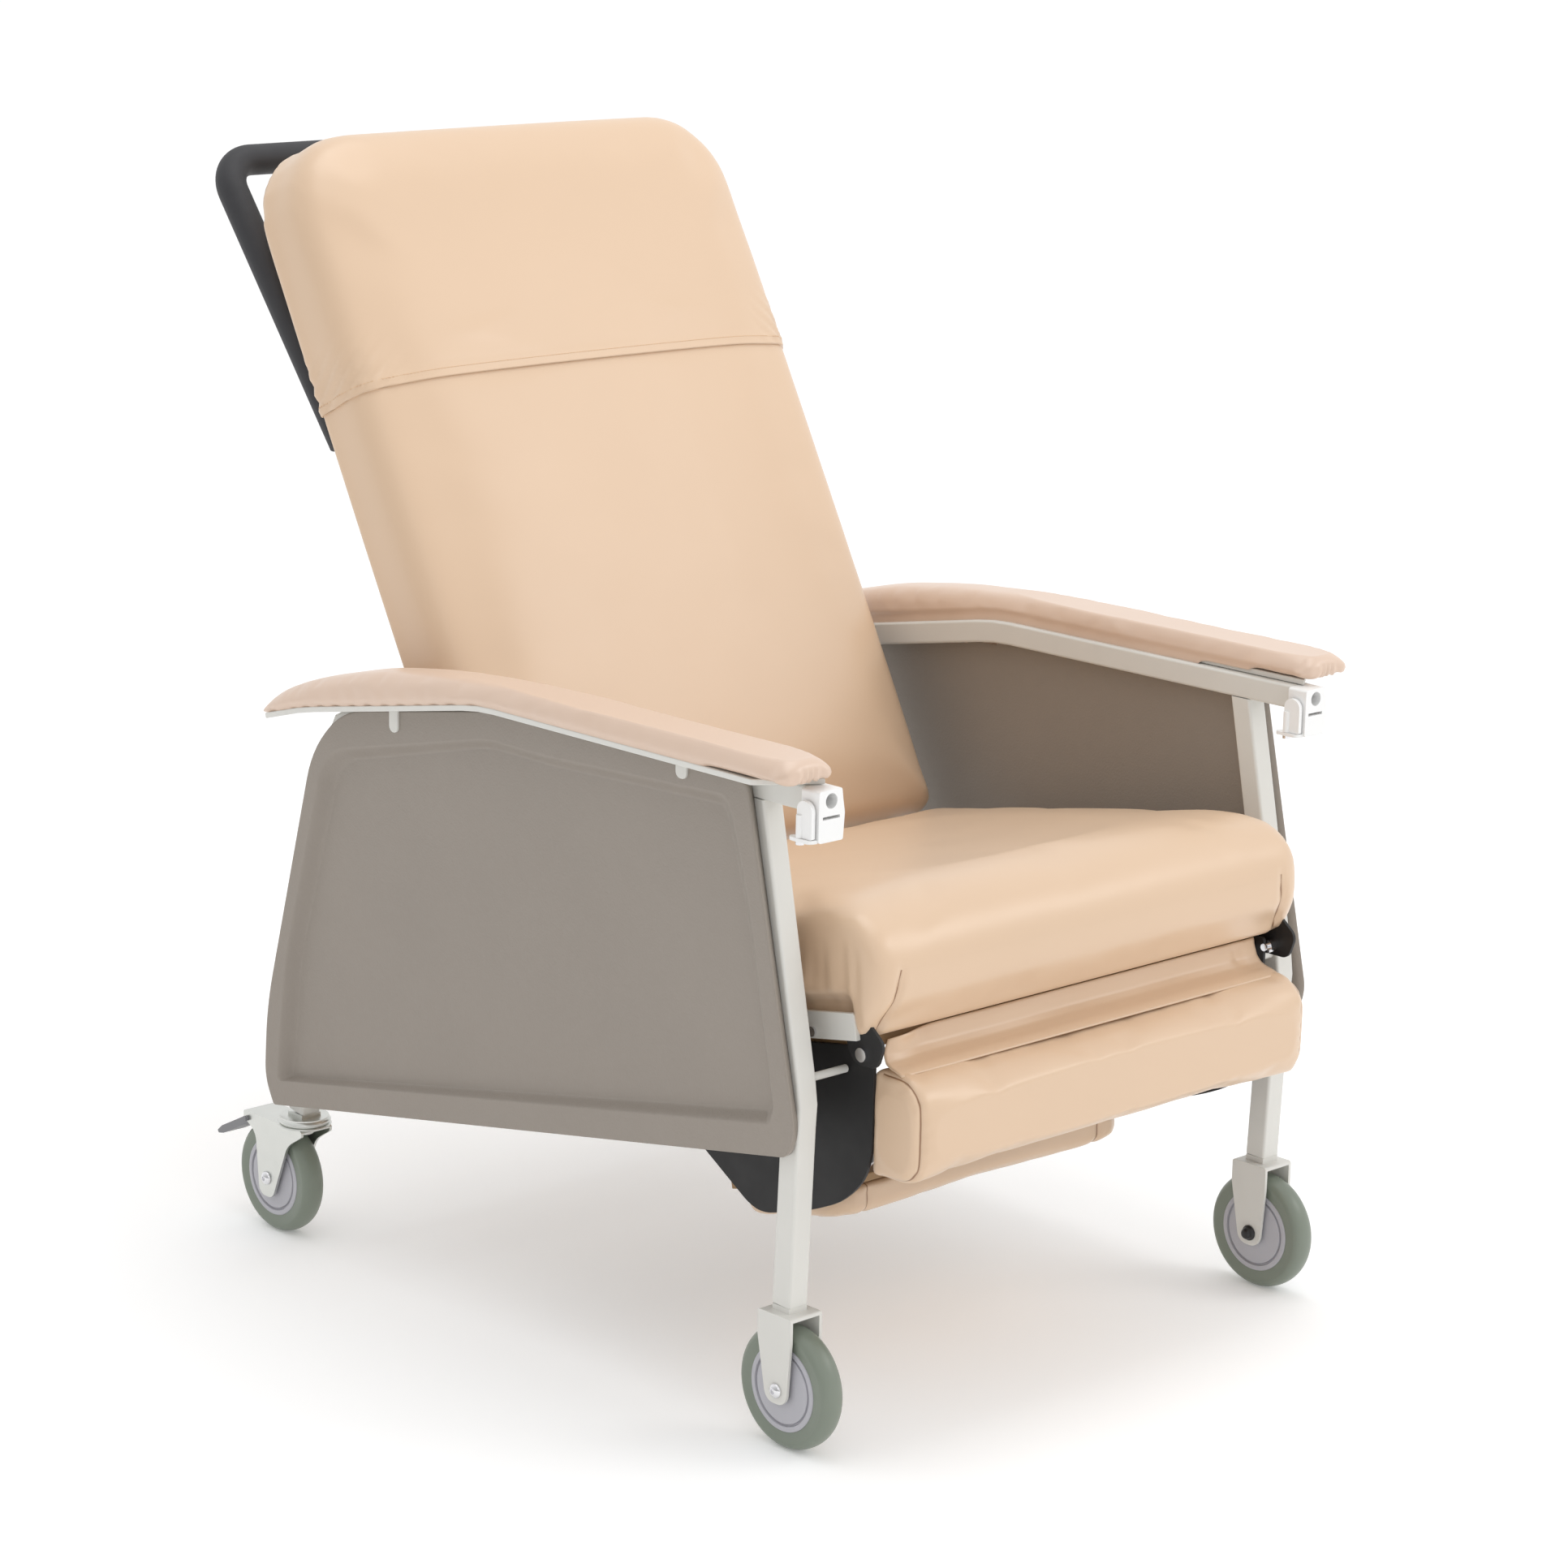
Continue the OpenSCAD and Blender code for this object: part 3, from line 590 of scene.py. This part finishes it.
def make_stitches(name, tree, line, pitch, thread, keep):
    """A row of short threads laid on a surface along a line."""
    bm = bmesh.new()
    for point, direction in along_line(line, pitch):
        if not keep(point):
            continue
        spot, normal, _, _ = tree.find_nearest(point)
        across = normal.cross(direction).normalized()
        turn = Matrix((across, normal, direction)).transposed().to_4x4()
        turn.translation = spot + normal * thread * 0.35
        bmesh.ops.create_cone(bm, cap_ends=True, segments=6, radius1=thread * 0.6, radius2=thread,
                              depth=pitch * 0.66, matrix=turn)
    return link_mesh(name, bm)


HEM = 0.556


def make_headrest(cushion):
    bm = bmesh.new()
    bm.from_mesh(cushion.data)
    bm.normal_update()
    bmesh.ops.bisect_plane(bm, geom=bm.verts[:] + bm.edges[:] + bm.faces[:], dist=1e-7, plane_co=(0, 0, HEM),
                           plane_no=(0, 0, 1), clear_inner=True)
    outward = {v: v.normal.copy() for v in bm.verts}
    for v in bm.verts:
        hem = 0.0007 * (1 - float(step(HEM + 0.011, HEM + 0.014, v.co.z)))
        v.co += outward[v] * (0.0016 + hem)
        v.co.y = min(v.co.y, 0.0742)
    rim = [e for e in bm.edges if e.is_boundary]
    inner = bmesh.ops.extrude_edge_only(bm, edges=rim)
    for v in (g for g in inner["geom"] if isinstance(g, bmesh.types.BMVert)):
        v.co += Vector((0, 0.0022 if v.co.y < 0.03 else 0, 0.0004))
        v.co.x -= math.copysign(0.0022, v.co.x) if abs(v.co.x) > 0.29 else 0
    cover = link_mesh("headrest_cover_vinyl", bm)
    surface_tree = BVHTree.FromPolygons([v.co for v in cover.data.vertices],
                                        [p.vertices[:] for p in cover.data.polygons])
    line = cut_line(cover.data, (0, 0, HEM + 0.0095), (0, 0, 1))
    row = make_stitches("headrest_stitches", surface_tree, line, 0.0042, 0.00042, lambda p: p.y < 0.071)
    cover.data.transform(BACK)
    cover.data.shade_smooth()
    row.data.transform(BACK)
    finish_piece(cover, "back_rest", FINISHES["vinyl_sheet"], ["headrest_cover"])
    finish_piece(row, "back_rest", FINISHES["thread"])


def end_seam(x, half, edge):
    """Distance to the seam that closes each end of a pad, a little in from the end face."""
    return np.abs(x) - (half - edge)


def make_calf_pad():
    low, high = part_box("calf_pad")
    half, rear, front = high.x + 0.0005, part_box("calf_board")[1].y + 0.0058, low.y + 0.001
    outline = [(rear, high.z - 0.001, 0.003), (rear, low.z + 0.001, 0.004), (front, low.z + 0.001, 0.026),
               (front, high.z - 0.001, 0.032)]
    bm = side_block(outline, -half, half)
    ends = sharp_edges(bm, 60, lambda e: abs(e.verts[0].co.x - e.verts[1].co.x) < 1e-6
                       and min(v.co.y for v in e.verts) < rear - 0.007)
    soften_edges(bm, ends, 0.006, 4, False)
    obj = link_mesh("calf_pad_vinyl", bm)
    puffed(obj, 0.006, 0.006, lambda p: p[:, 1] > rear - 0.004)
    relaxed(obj, 2)
    finer(obj)
    middle = (low + high) / 2

    def shape(p, n):
        x, y, z = p[:, 0].copy(), p[:, 1].copy(), p[:, 2].copy()
        across = np.clip(1 - (x / 0.30) ** 4, 0, 1)
        p[:, 1] -= 0.003 * across * step(middle.y, front, y) * np.clip(1 - ((z - middle.z) / 0.06) ** 2, 0, 1)
        away = end_seam(x, half, 0.003)
        p -= n * (0.0022 * bump_at(away, 0, 0.0035) * step(rear - 0.008, rear - 0.016, y))[:, None]
        cap = step(-0.002, 0.005, away) * np.clip(1 - ((z - middle.z) / 0.056) ** 2, 0, 1)
        p[:, 0] += np.sign(x) * 0.004 * cap * np.clip(1 - ((y - (front + rear) / 2) / 0.036) ** 2, 0, 1)
        puckers = np.sin(z * math.tau / 0.017 + 2 * np.sin(z * 60)) * bump_at(away, -0.006, 0.006)
        p += n * (0.0005 * puckers)[:, None]
        mark_seam(obj, np.where(y < rear - 0.012, away, 1.0))
        return np.clip(p, np.array(low) - 0.004, np.array((high.x + 0.004, rear, high.z + 0.004)))

    sculpt(obj, shape)
    settled(obj, LEVEL, "leg_rest", "vinyl_cushion", ["calf_pad"])


def make_foot_pad():
    half, thick, tall = 0.2145, 0.0295, 0.158
    outline = [(-half, 0.002, 0.034), (half, 0.002, 0.034), (half, tall, 0.030), (-half, tall, 0.030)]
    bm = block(outline, lambda x, s: (x, s, thick), (0, 0, -thick + 0.002))
    soften_edges(bm, sharp_edges(bm, 60, lambda e: max(v.co.z for v in e.verts) < 0.004), 0.010, 5, False)
    soften_edges(bm, sharp_edges(bm, 60, lambda e: min(v.co.z for v in e.verts) > thick - 0.001), 0.004, 3,
                 False)
    obj = link_mesh("foot_pad_vinyl", bm)
    puffed(obj, 0.005, 0.004, lambda p: p[:, 2] > thick - 0.004)
    relaxed(obj, 2)
    finer(obj)

    def shape(p, n):
        away = end_seam(p[:, 0], half, 0.044)
        p -= n * (0.0016 * bump_at(away, 0, 0.004) * step(0.026, 0.018, p[:, 2]))[:, None]
        mark_seam(obj, away)
        return np.clip(p, np.array((-0.2195, -0.001, -0.003)), np.array((0.2195, 0.1615, 0.0302)))

    sculpt(obj, shape)
    settled(obj, FOOT, "foot_rest", "vinyl_cushion", ["foot_pad"])


def make_arm_pad(side):
    name = f"arm_pad_{side}"
    low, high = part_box(name)
    base, bend, rear = low.z + 0.0758, low.y + 0.460, high.y + 0.003
    top = [(0.002, 0.095), (0.036, 0.072), (0.096, 0.050), (0.196, 0.025), (0.296, 0.011), (0.396, 0.004),
           (0.496, -0.001)]
    outline = [(low.y + 0.004, base, 0.002), (bend - 0.022, base, 0.015),
               (bend + 0.022, base - 0.0042, 0.015),
               (bend + 0.270, base - 0.0496, 0.01), (bend + 0.300, base - 0.056, 0.01),
               (rear - 0.006, low.z - 0.001, 0.002)]
    outline += [(rear - back, high.z - down, 0.003 if back < 0.01 else 0.025) for back, down in top]
    outline += [(low.y + 0.036, high.z + 0.001, 0.03), (low.y + 0.003, base + 0.014, 0.007)]

    def under(y):
        return np.interp(y, (bend - 0.025, bend, bend + 0.025, bend + 0.270, bend + 0.300, bend + 0.370),
                         (base, base - 0.0012, base - 0.0046, base - 0.0496, base - 0.056, base - 0.0745))

    bm = side_block(outline, low.x + 0.003, high.x - 0.003)
    lengthwise = sharp_edges(bm, 60, lambda e: abs(e.verts[0].co.x - e.verts[1].co.x) < 1e-6)
    soften_edges(bm, lengthwise, 0.0055, 4, False)
    obj = link_mesh(f"{name}_vinyl", bm)
    puffed(obj, 0.005, 0.004, lambda p: p[:, 2] < under(p[:, 1]) + 0.002)
    relaxed(obj, 2)
    finer(obj)
    centre, wide = (low.x + high.x) / 2, (high.x - low.x) / 2

    def shape(p, n):
        x, y, z = (p[:, 0] - centre) / wide, p[:, 1].copy(), p[:, 2].copy()
        lift = z - under(y)
        above = step(0.0, 0.018, lift)
        p[:, 0] -= (p[:, 0] - centre) * 0.10 * step(0.008, 0.0, lift)
        p[:, 2] += 0.003 * above * (1 - x ** 2) - 0.0035 * above * np.abs(x) ** 3
        round_off = 0.024
        near = np.clip((low.y + round_off - y) / round_off, 0, 1)
        narrow = 1 - 0.30 * (1 - np.sqrt(np.clip(1 - near ** 2, 0, 1)))
        behind = np.clip((y - rear + 0.06) / 0.06, 0, 1)
        narrow *= 1 - 0.28 * (1 - np.sqrt(np.clip(1 - behind ** 2, 0, 1)))
        p[:, 0] = centre + (p[:, 0] - centre) * narrow
        turn = np.arctan2(x * 1.0, (y - low.y) / 0.03 + 0.2)
        pleats = (np.sin(turn * 13) * step(low.y + 0.05, low.y + 0.004, y)
                  * step(base + 0.016, base + 0.004, z))
        p += n * (0.0013 * pleats)[:, None]
        return np.clip(p, np.array(low) - 0.002, np.array(high) + 0.002)

    sculpt(obj, shape)
    settled(obj, LEVEL, "chair_frame", "vinyl_arm", [name])


def make_flap():
    """Loose vinyl that runs from the top of the calf pad back and up under the seat front."""
    low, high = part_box("flap")
    line = [(low.y + 0.006, low.z - 0.0035), (low.y + 0.016, low.z + 0.0002), (low.y + 0.027, low.z + 0.0030),
            (low.y + 0.036, low.z + 0.0085), (low.y + 0.0415, low.z + 0.0170),
            (low.y + 0.0435, low.z + 0.0285)]
    bm = bmesh.new()
    chain = [bm.verts.new((low.x + 0.002, y, z)) for y, z in line]
    ring = [bm.edges.new(pair) for pair in zip(chain, chain[1:])]
    steps = 150
    across = (high.x - low.x - 0.006) / steps
    for _ in range(steps):
        made = bmesh.ops.extrude_edge_only(bm, edges=ring)
        ring = [g for g in made["geom"] if isinstance(g, bmesh.types.BMEdge)]
        moved = {v for e in ring for v in e.verts}
        bmesh.ops.translate(bm, vec=(across, 0, 0), verts=list(moved))
    crosswise = [e for e in bm.edges if abs(e.verts[0].co.x - e.verts[1].co.x) < 1e-6]
    bmesh.ops.subdivide_edges(bm, edges=crosswise, cuts=3, smooth=1.0)
    bmesh.ops.recalc_face_normals(bm, faces=bm.faces)
    obj = link_mesh("flap_vinyl", bm)

    def shape(p, n):
        x, y, z = p[:, 0].copy(), p[:, 1].copy(), p[:, 2].copy()
        up = np.clip((z - low.z - 0.001) / 0.027, 0, 1)
        fold = step(-0.268, -0.205, x)
        drop = 1 - 0.14 * (1 - fold)
        curl = np.sin(np.clip((x + 0.279) / 0.085, 0, 1) * math.tau) * (1 - fold) ** 0.5
        p[:, 0] += (0.013 * up - 0.002) * (1 - step(-0.279, -0.150, x))
        p[:, 1] = low.y + (y - low.y) * (0.45 + 0.55 * drop) - 0.006 * up * curl
        p[:, 2] = low.z + 0.001 + (z - low.z - 0.001) * drop + 0.003 * up * curl
        slack = np.sin(math.pi * np.clip(up, 0, 1)) * fold
        wave = 0.6 * np.sin(x * 14 + 0.6) + 0.4 * np.sin(x * 37 + 2.0) + 1.3 * bump_at(x, 0.245, 0.008)
        p[:, 1] += 0.0020 * slack * wave
        p[:, 2] -= 0.0015 * slack * (1 + 0.5 * wave)
        return p

    sculpt(obj, shape)
    obj.data.shade_smooth()
    skin = obj.modifiers.new("thickness", "SOLIDIFY")
    skin.thickness = 0.0011
    skin.offset = 0
    made_real(obj)
    finish_piece(obj, "leg_rest", FINISHES["vinyl_sheet"], ["flap"])


# ---- frame, panels and fittings from softened copies ----
def make_tubes(name, slot="frame_paint", radius=0.0032, least=0.0002):
    bm = cad_copy(name)
    outer = sharp_edges(bm, 50, lambda e: e.is_convex and min(f.calc_area() for f in e.link_faces) > least)
    soften_edges(bm, outer, radius, 4, False)
    obj = link_mesh(f"{name}_rounded", bm)
    clean_shading(obj)
    finish_piece(obj, owner(name), FINISHES[slot], [name])


def owner(node):
    return next(body for body, members in frame["record"]["behaviour"]["bodies"].items() if node in members)


def make_softened(name, slot, width, segments=3, angle=30, trim=None):
    bm = cad_copy(name)
    if trim:
        trim(bm)
    soften_edges(bm, sharp_edges(bm, angle), width, segments)
    obj = link_mesh(f"{name}_soft", bm)
    clean_shading(obj)
    return finish_piece(obj, owner(name), FINISHES[slot], [name])


def trim_strips(bm):
    """The outer flange of each arm strip stops behind the front of the tube it lies on."""
    low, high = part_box("arm_strips")
    for v in bm.verts:
        if v.co.y < -0.49 and abs(v.co.x) > 0.38:
            v.co.y = -0.4575
        elif v.co.y < -0.49:
            v.co.y = low.y + 0.004
        if v.co.y > high.y - 0.004:
            v.co.z += 0.0035
            v.co.y -= 0.014


def refinish(name, slot):
    """A node whose shape is right keeps its mesh and takes the finished material."""
    obj = frame["nodes"][name]
    obj.data.materials.clear()
    obj.data.materials.append(FINISHES[slot])


RIM = [(0.3345, 0.1545, 0.004), (0.3500, 0.1832, 0.018), (0.3450, 0.2650, 0.040), (0.2600, 0.5685, 0.034),
       (0.2075, 0.6205, 0.034), (-0.0310, 0.6625, 0.010), (-0.1250, 0.6625, 0), (-0.4225, 0.6625, 0.006),
       (-0.4555, 0.5145, 0.020), (-0.4800, 0.4075, 0.020), (-0.4970, 0.3325, 0.014), (-0.4870, 0.3057, 0.010)]
LIP = [(0.3277, 0.1833, 0.010), (0.3230, 0.2346, 0.012), (0.3106, 0.3278, 0.030), (0.2438, 0.5578, 0.015),
       (0.2195, 0.5791, 0.013), (-0.0345, 0.6360, 0.020), (-0.1250, 0.6355, 0), (-0.3960, 0.6471, 0.012),
       (-0.4093, 0.6163, 0.012), (-0.4315, 0.5418, 0.030), (-0.4690, 0.3500, 0.008), (-0.4640, 0.3330, 0.006)]
FIELD = [(0.3116, 0.1913, 0.010), (0.3034, 0.2374, 0.012), (0.2927, 0.3296, 0.030), (0.2269, 0.5432, 0.015),
         (0.2041, 0.5650, 0.013), (-0.0270, 0.6214, 0.020), (-0.1200, 0.6205, 0), (-0.3800, 0.6300, 0.012),
         (-0.3890, 0.6060, 0.012), (-0.4100, 0.5418, 0.030), (-0.4545, 0.3520, 0.004),
         (-0.4490, 0.3440, 0.004)]


def arced(outline, steps=CORNER_STEPS):
    """The corners of an outline of (a, b, cut) points drawn as short arcs."""
    found = []
    for i, (a, b, cut) in enumerate(outline):
        corner = Vector((a, b))
        if not cut:
            found.append(corner)
            continue
        start = corner + (Vector(outline[i - 1][:2]) - corner).normalized() * cut
        end = corner + (Vector(outline[(i + 1) % len(outline)][:2]) - corner).normalized() * cut
        for t in (k / steps for k in range(steps + 1)):
            found.append(start * (1 - t) ** 2 + corner * (2 * t * (1 - t)) + end * t ** 2)
    return found


def make_panel(side):
    """Side sheet: flat rim, sloping wall and sunk field, its top edge carried up under the arm strip."""
    name = f"side_panel_{side}"
    outward = 1 if side == "left" else -1
    rim, lip, field = ([Vector((0, *point)) for point in arced(outline)] for outline in (RIM, LIP, FIELD))
    middle = Vector((0, -0.07, 0.41))
    shapes = [(PANEL_BACK, [p + Vector((0, 0.0065, -0.0023)) for p in rim])]
    shapes += [(depth, [middle + (p - middle) * size for p in rim])
               for depth, size in ((0.3740, 1.0), (0.3753, 0.999), (0.3759, 0.997), (PANEL_RIM, 0.993))]
    shapes += [(PANEL_RIM - PANEL_SINK * float(step(0, 1, t)), [a.lerp(b, t) for a, b in zip(lip, field)])
               for t in (0, 0.1, 0.2, 0.35, 0.5, 0.65, 0.8, 0.9, 1)]
    bm = bmesh.new()
    rings = [[bm.verts.new(p + Vector((outward * depth, 0, 0))) for p in points] for depth, points in shapes]
    for first, second in zip(rings, rings[1:]):
        for i in range(len(first)):
            bm.faces.new((first[i - 1], first[i], second[i], second[i - 1]))
    for ring in (rings[0], rings[-1]):
        hub = bm.verts.new(middle + Vector((ring[0].co.x, 0, 0)))
        for i in range(len(ring)):
            bm.faces.new((ring[i - 1], ring[i], hub))
    bmesh.ops.recalc_face_normals(bm, faces=bm.faces)
    obj = link_mesh(f"{name}_sheet", bm)
    clean_shading(obj, 60)
    finish_piece(obj, "chair_frame", FINISHES["panel_plastic"], [name])
    tabs = bmesh.new()
    for rear, front, foot in ((-0.3235, -0.3395, 0.6500), (0.1225, 0.1080, 0.6145)):
        tab = side_block([(rear, foot + TAB_HEIGHT, 0), (rear, foot, 0.0068), (front, foot, 0.0068),
                          (front, foot + TAB_HEIGHT, 0)],
                         outward * TAB_BACK, outward * TAB_FRONT)
        soften_edges(tab, sharp_edges(tab, 60), 0.0007, 2)
        spare = bpy.data.meshes.new("tab")
        tab.to_mesh(spare)
        tab.free()
        tabs.from_mesh(spare)
        bpy.data.meshes.remove(spare)
    bmesh.ops.recalc_face_normals(tabs, faces=tabs.faces)
    obj = link_mesh(f"panel_tabs_{side}", tabs)
    clean_shading(obj)
    finish_piece(obj, "chair_frame", FINISHES["frame_paint"], ["panel_tabs"])


def make_calf_board():
    low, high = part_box("calf_board")
    bm = bmesh.new()
    bmesh.ops.create_cube(bm, size=1)
    centre = (low + high) / 2
    size = Vector(((high.x - low.x) - 0.042, high.y - low.y + 0.0078, (high.z - low.z) - 0.018))
    bm.transform(Matrix.Translation(centre + Vector((0, 0.0039, 0))) @ Matrix.Diagonal((*size, 1)))
    soften_edges(bm, list(bm.edges), 0.0012, 2)
    obj = link_mesh("calf_board_ply", bm)
    clean_shading(obj)
    finish_piece(obj, "leg_rest", FINISHES["board"], ["calf_board"])


def make_guard(side):
    name = f"guard_{side}"
    low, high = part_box(name)
    start = low.y + 0.050
    edge = [(-0.0400, 0.411, 0.004), (-0.0400, 0.290, 0.02), (-0.018, 0.246, 0.035), (0.050, 0.214, 0.03),
            (0.112, 0.1963, 0.010), (0.132, 0.200, 0.010), (0.212, 0.248, 0.014), (0.222, 0.286, 0.018),
            (0.196, 0.363, 0.012), (-0.020, 0.402, 0.004), (-0.023, 0.411, 0.004)]
    bm = side_block([(start + y, z, cut) for y, z, cut in edge], low.x, high.x)
    soften_edges(bm, sharp_edges(bm, 60), 0.0007, 2)
    obj = link_mesh(f"{name}_plate", bm)
    clean_shading(obj)
    finish_piece(obj, "leg_rest", FINISHES["black_plastic"], [name])


def make_slide_bars():
    """Rail that runs in the guide, with a dark hanger plate welded inside its front end."""
    low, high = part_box("slide_bars")
    front = low.y + 0.058
    hanger = [(-0.061, 0.390, 0.008), (-0.029, 0.390, 0.008), (-0.018, 0.410, 0.006), (-0.018, 0.436, 0.002),
              (-0.040, 0.440, 0.003), (-0.070, 0.416, 0.008)]
    for side, outward in (("right", -1), ("left", 1)):
        rail = side_block([(0.0, 0.013, 0.001), (0.300, 0.013, 0.001), (0.300, 0.040, 0.001),
                           (0.0, 0.040, 0.003)],
                          0.3032, high.x)
        rail.transform(SEAT)
        plate = side_block([(front + y, z, cut) for y, z, cut in hanger], 0.299, 0.3032)
        for label, bm, finish in ((f"slide_rail_{side}", rail, "frame_paint"),
                                  (f"slide_hanger_{side}", plate, "black_plastic")):
            soften_edges(bm, sharp_edges(bm, 60), 0.0008, 2)
            if outward < 0:
                bm.transform(Matrix.Scale(-1, 4, (1, 0, 0)))
                bmesh.ops.reverse_faces(bm, faces=bm.faces)
            obj = link_mesh(label, bm)
            clean_shading(obj)
            finish_piece(obj, "leg_slide", FINISHES[finish], ["slide_bars"])


def make_wheel(end, side):
    tyre, hub = f"{end}_tyre_{side}", f"{end}_hub_{side}"
    low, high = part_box(tyre)
    middle = (low + high) / 2
    place = Matrix.Translation(middle)
    wide, radius = (high.x - low.x) / 2, (high.z - low.z) / 2
    crown = [(wide * math.sin(a), radius - 0.0092 * (1 - math.cos(a) ** 0.9), 0)
             for a in np.linspace(-1.45, 1.45, 23)]
    tread = turned([(-0.0125, 0.0440, 0), (-wide + 0.001, 0.0475, 0.002), (-wide, 0.0535, 0.003), *crown,
                    (wide, 0.0535, 0.003), (wide - 0.001, 0.0475, 0.002), (0.0125, 0.0440, 0)], 128)
    tread_obj = link_mesh(f"{tyre}_tread", tread, place)
    clean_shading(tread_obj, 50)
    finish_piece(tread_obj, f"{end}_wheel_{side}", FINISHES["tyre_rubber"], [tyre])
    face = [(0.0130, 0.0439), (0.0136, 0.0425), (0.0136, 0.0385), (0.0105, 0.0378), (0.0105, 0.0362),
            (0.0132, 0.0355),
            (0.0140, 0.0200), (0.0140, 0.0110), (0.0165, 0.0100), (0.0165, 0.0041)]
    outline = [(x, r, 0.0005) for x, r in face] + [(-x, r, 0.0005) for x, r in reversed(face)]
    hub_obj = link_mesh(f"{hub}_moulding", turned(outline), place)
    clean_shading(hub_obj, 40)
    finish_piece(hub_obj, f"{end}_wheel_{side}", FINISHES["hub_plastic"], [hub])


def make_bolt(name, centre, outward, body, nodes):
    """Axle bolt: rounded head with a driving recess outboard and a domed black cap nut inboard."""
    steel = turned([(-0.024, 0.0, 0), (-0.024, 0.0038, 0), (0.0212, 0.0038, 0), (0.0212, 0.0078, 0.0004),
                    (0.0236, 0.0072, 0.0012), (0.0256, 0.0042, 0.0012), (0.0260, 0.0026, 0.0002),
                    (0.0243, 0.0022, 0.0002),
                    (0.0243, 0.0, 0)], 36)
    cap = turned([(-0.0212, 0.0, 0), (-0.0212, 0.0085, 0.0006), (-0.0228, 0.0085, 0.0006),
                  (-0.0240, 0.0066, 0.001),
                  (-0.0292, 0.0056, 0.0025), (-0.0306, 0.0, 0)], 36)
    place = Matrix.Translation(centre) @ Matrix.Scale(outward, 4, (1, 0, 0))
    for label, bm, slot in ((f"{name}_bolt", steel, "bolt_steel"), (f"{name}_cap", cap, "cap_black")):
        obj = link_mesh(label, bm, place)
        if outward < 0:
            obj.data.flip_normals()
        clean_shading(obj, 40)
        finish_piece(obj, body, FINISHES[slot], nodes if slot == "bolt_steel" else ())


def make_swivel(side):
    """Two pressed ball races between the rear leg and the caster fork, with a dark gap between them."""
    low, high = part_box(f"caster_fork_{side}")
    centre = Vector(((low.x + high.x) / 2, pivot(f"caster_{side}_swivel").y, 0))
    upright = Matrix.Translation(centre) @ Matrix.Rotation(-math.pi / 2, 4, "Y")
    upper = turned([(0.1372, 0.012, 0), (0.1372, 0.0285, 0.001), (0.1392, 0.0295, 0.001),
                    (0.1425, 0.0270, 0.002),
                    (0.1434, 0.0200, 0.001), (0.1434, 0.012, 0)], 64)
    lower = turned([(0.1332, 0.012, 0), (0.1332, 0.0300, 0.001), (0.1350, 0.0300, 0.001),
                    (0.1362, 0.0262, 0.0008),
                    (0.1362, 0.012, 0)], 64)
    for label, bm, body in ((f"race_top_{side}", upper, "chair_frame"),
                            (f"race_low_{side}", lower, f"caster_{side}")):
        obj = link_mesh(label, bm, upright)
        clean_shading(obj, 40)
        finish_piece(obj, body, FINISHES["zinc"])


set_camera()
set_studio()

make_seat()
back = make_back()
make_headrest(back)
settled(back, BACK, "back_rest", "vinyl_cushion", ["back_cushion"])
make_calf_pad()
make_foot_pad()
for side in ("right", "left"):
    make_arm_pad(side)
make_flap()

for name in ("front_legs", "arm_tubes", "rear_legs", "side_rails", "cross_bars"):
    make_tubes(name)
for name, slot, width in (
        ("front_forks", "frame_paint", 0.0016), ("caster_fork_right", "zinc", 0.0012),
        ("caster_fork_left", "zinc", 0.0012), ("tray_clips", "white_plastic", 0.0009),
        ("tray_latch_right", "white_plastic", 0.0009), ("tray_latch_left", "white_plastic", 0.0009),
        ("seat_guides", "steel", 0.0006), ("back_hinges", "steel", 0.0008),
        ("back_arms", "steel", 0.0008), ("back_straps", "steel", 0.0008),
        ("foot_brackets", "steel", 0.0008), ("foot_arms", "steel", 0.0008),
        ("brake_pedal_right", "pedal_grey", 0.0008), ("brake_pedal_left", "pedal_grey", 0.0008),
        ("handle_clamps", "black_plastic", 0.0015), ("seat_board", "board", 0.0008),
        ("back_board", "board", 0.0015), ("foot_board", "board", 0.0008)):
    make_softened(name, slot, width)
for name, slot in (("handle_tube", "black_plastic"), ("handle_grip", "foam_black"),
                   ("stop_stubs", "frame_paint"),
                   ("clip_screws", "bolt_steel"), ("slide_screws", "bolt_steel"), ("calf_pins", "bolt_steel"),
                   ("foot_pins", "bolt_steel"), ("caster_mounts", "zinc")):
    refinish(name, slot)

make_softened("arm_strips", "frame_paint", 0.0012, trim=trim_strips)
make_calf_board()
make_slide_bars()
for side, outward in (("right", -1), ("left", 1)):
    make_panel(side)
    make_guard(side)
    for end in ("front", "rear"):
        make_wheel(end, side)
        spot = pivot(f"{end}_wheel_{side}_spin")
        nodes = ["front_axles"] if end == "front" else [f"rear_axle_{side}"]
        make_bolt(f"{end}_{side}", spot, outward, "chair_frame" if end == "front" else f"caster_{side}",
                  nodes)
    make_swivel(side)
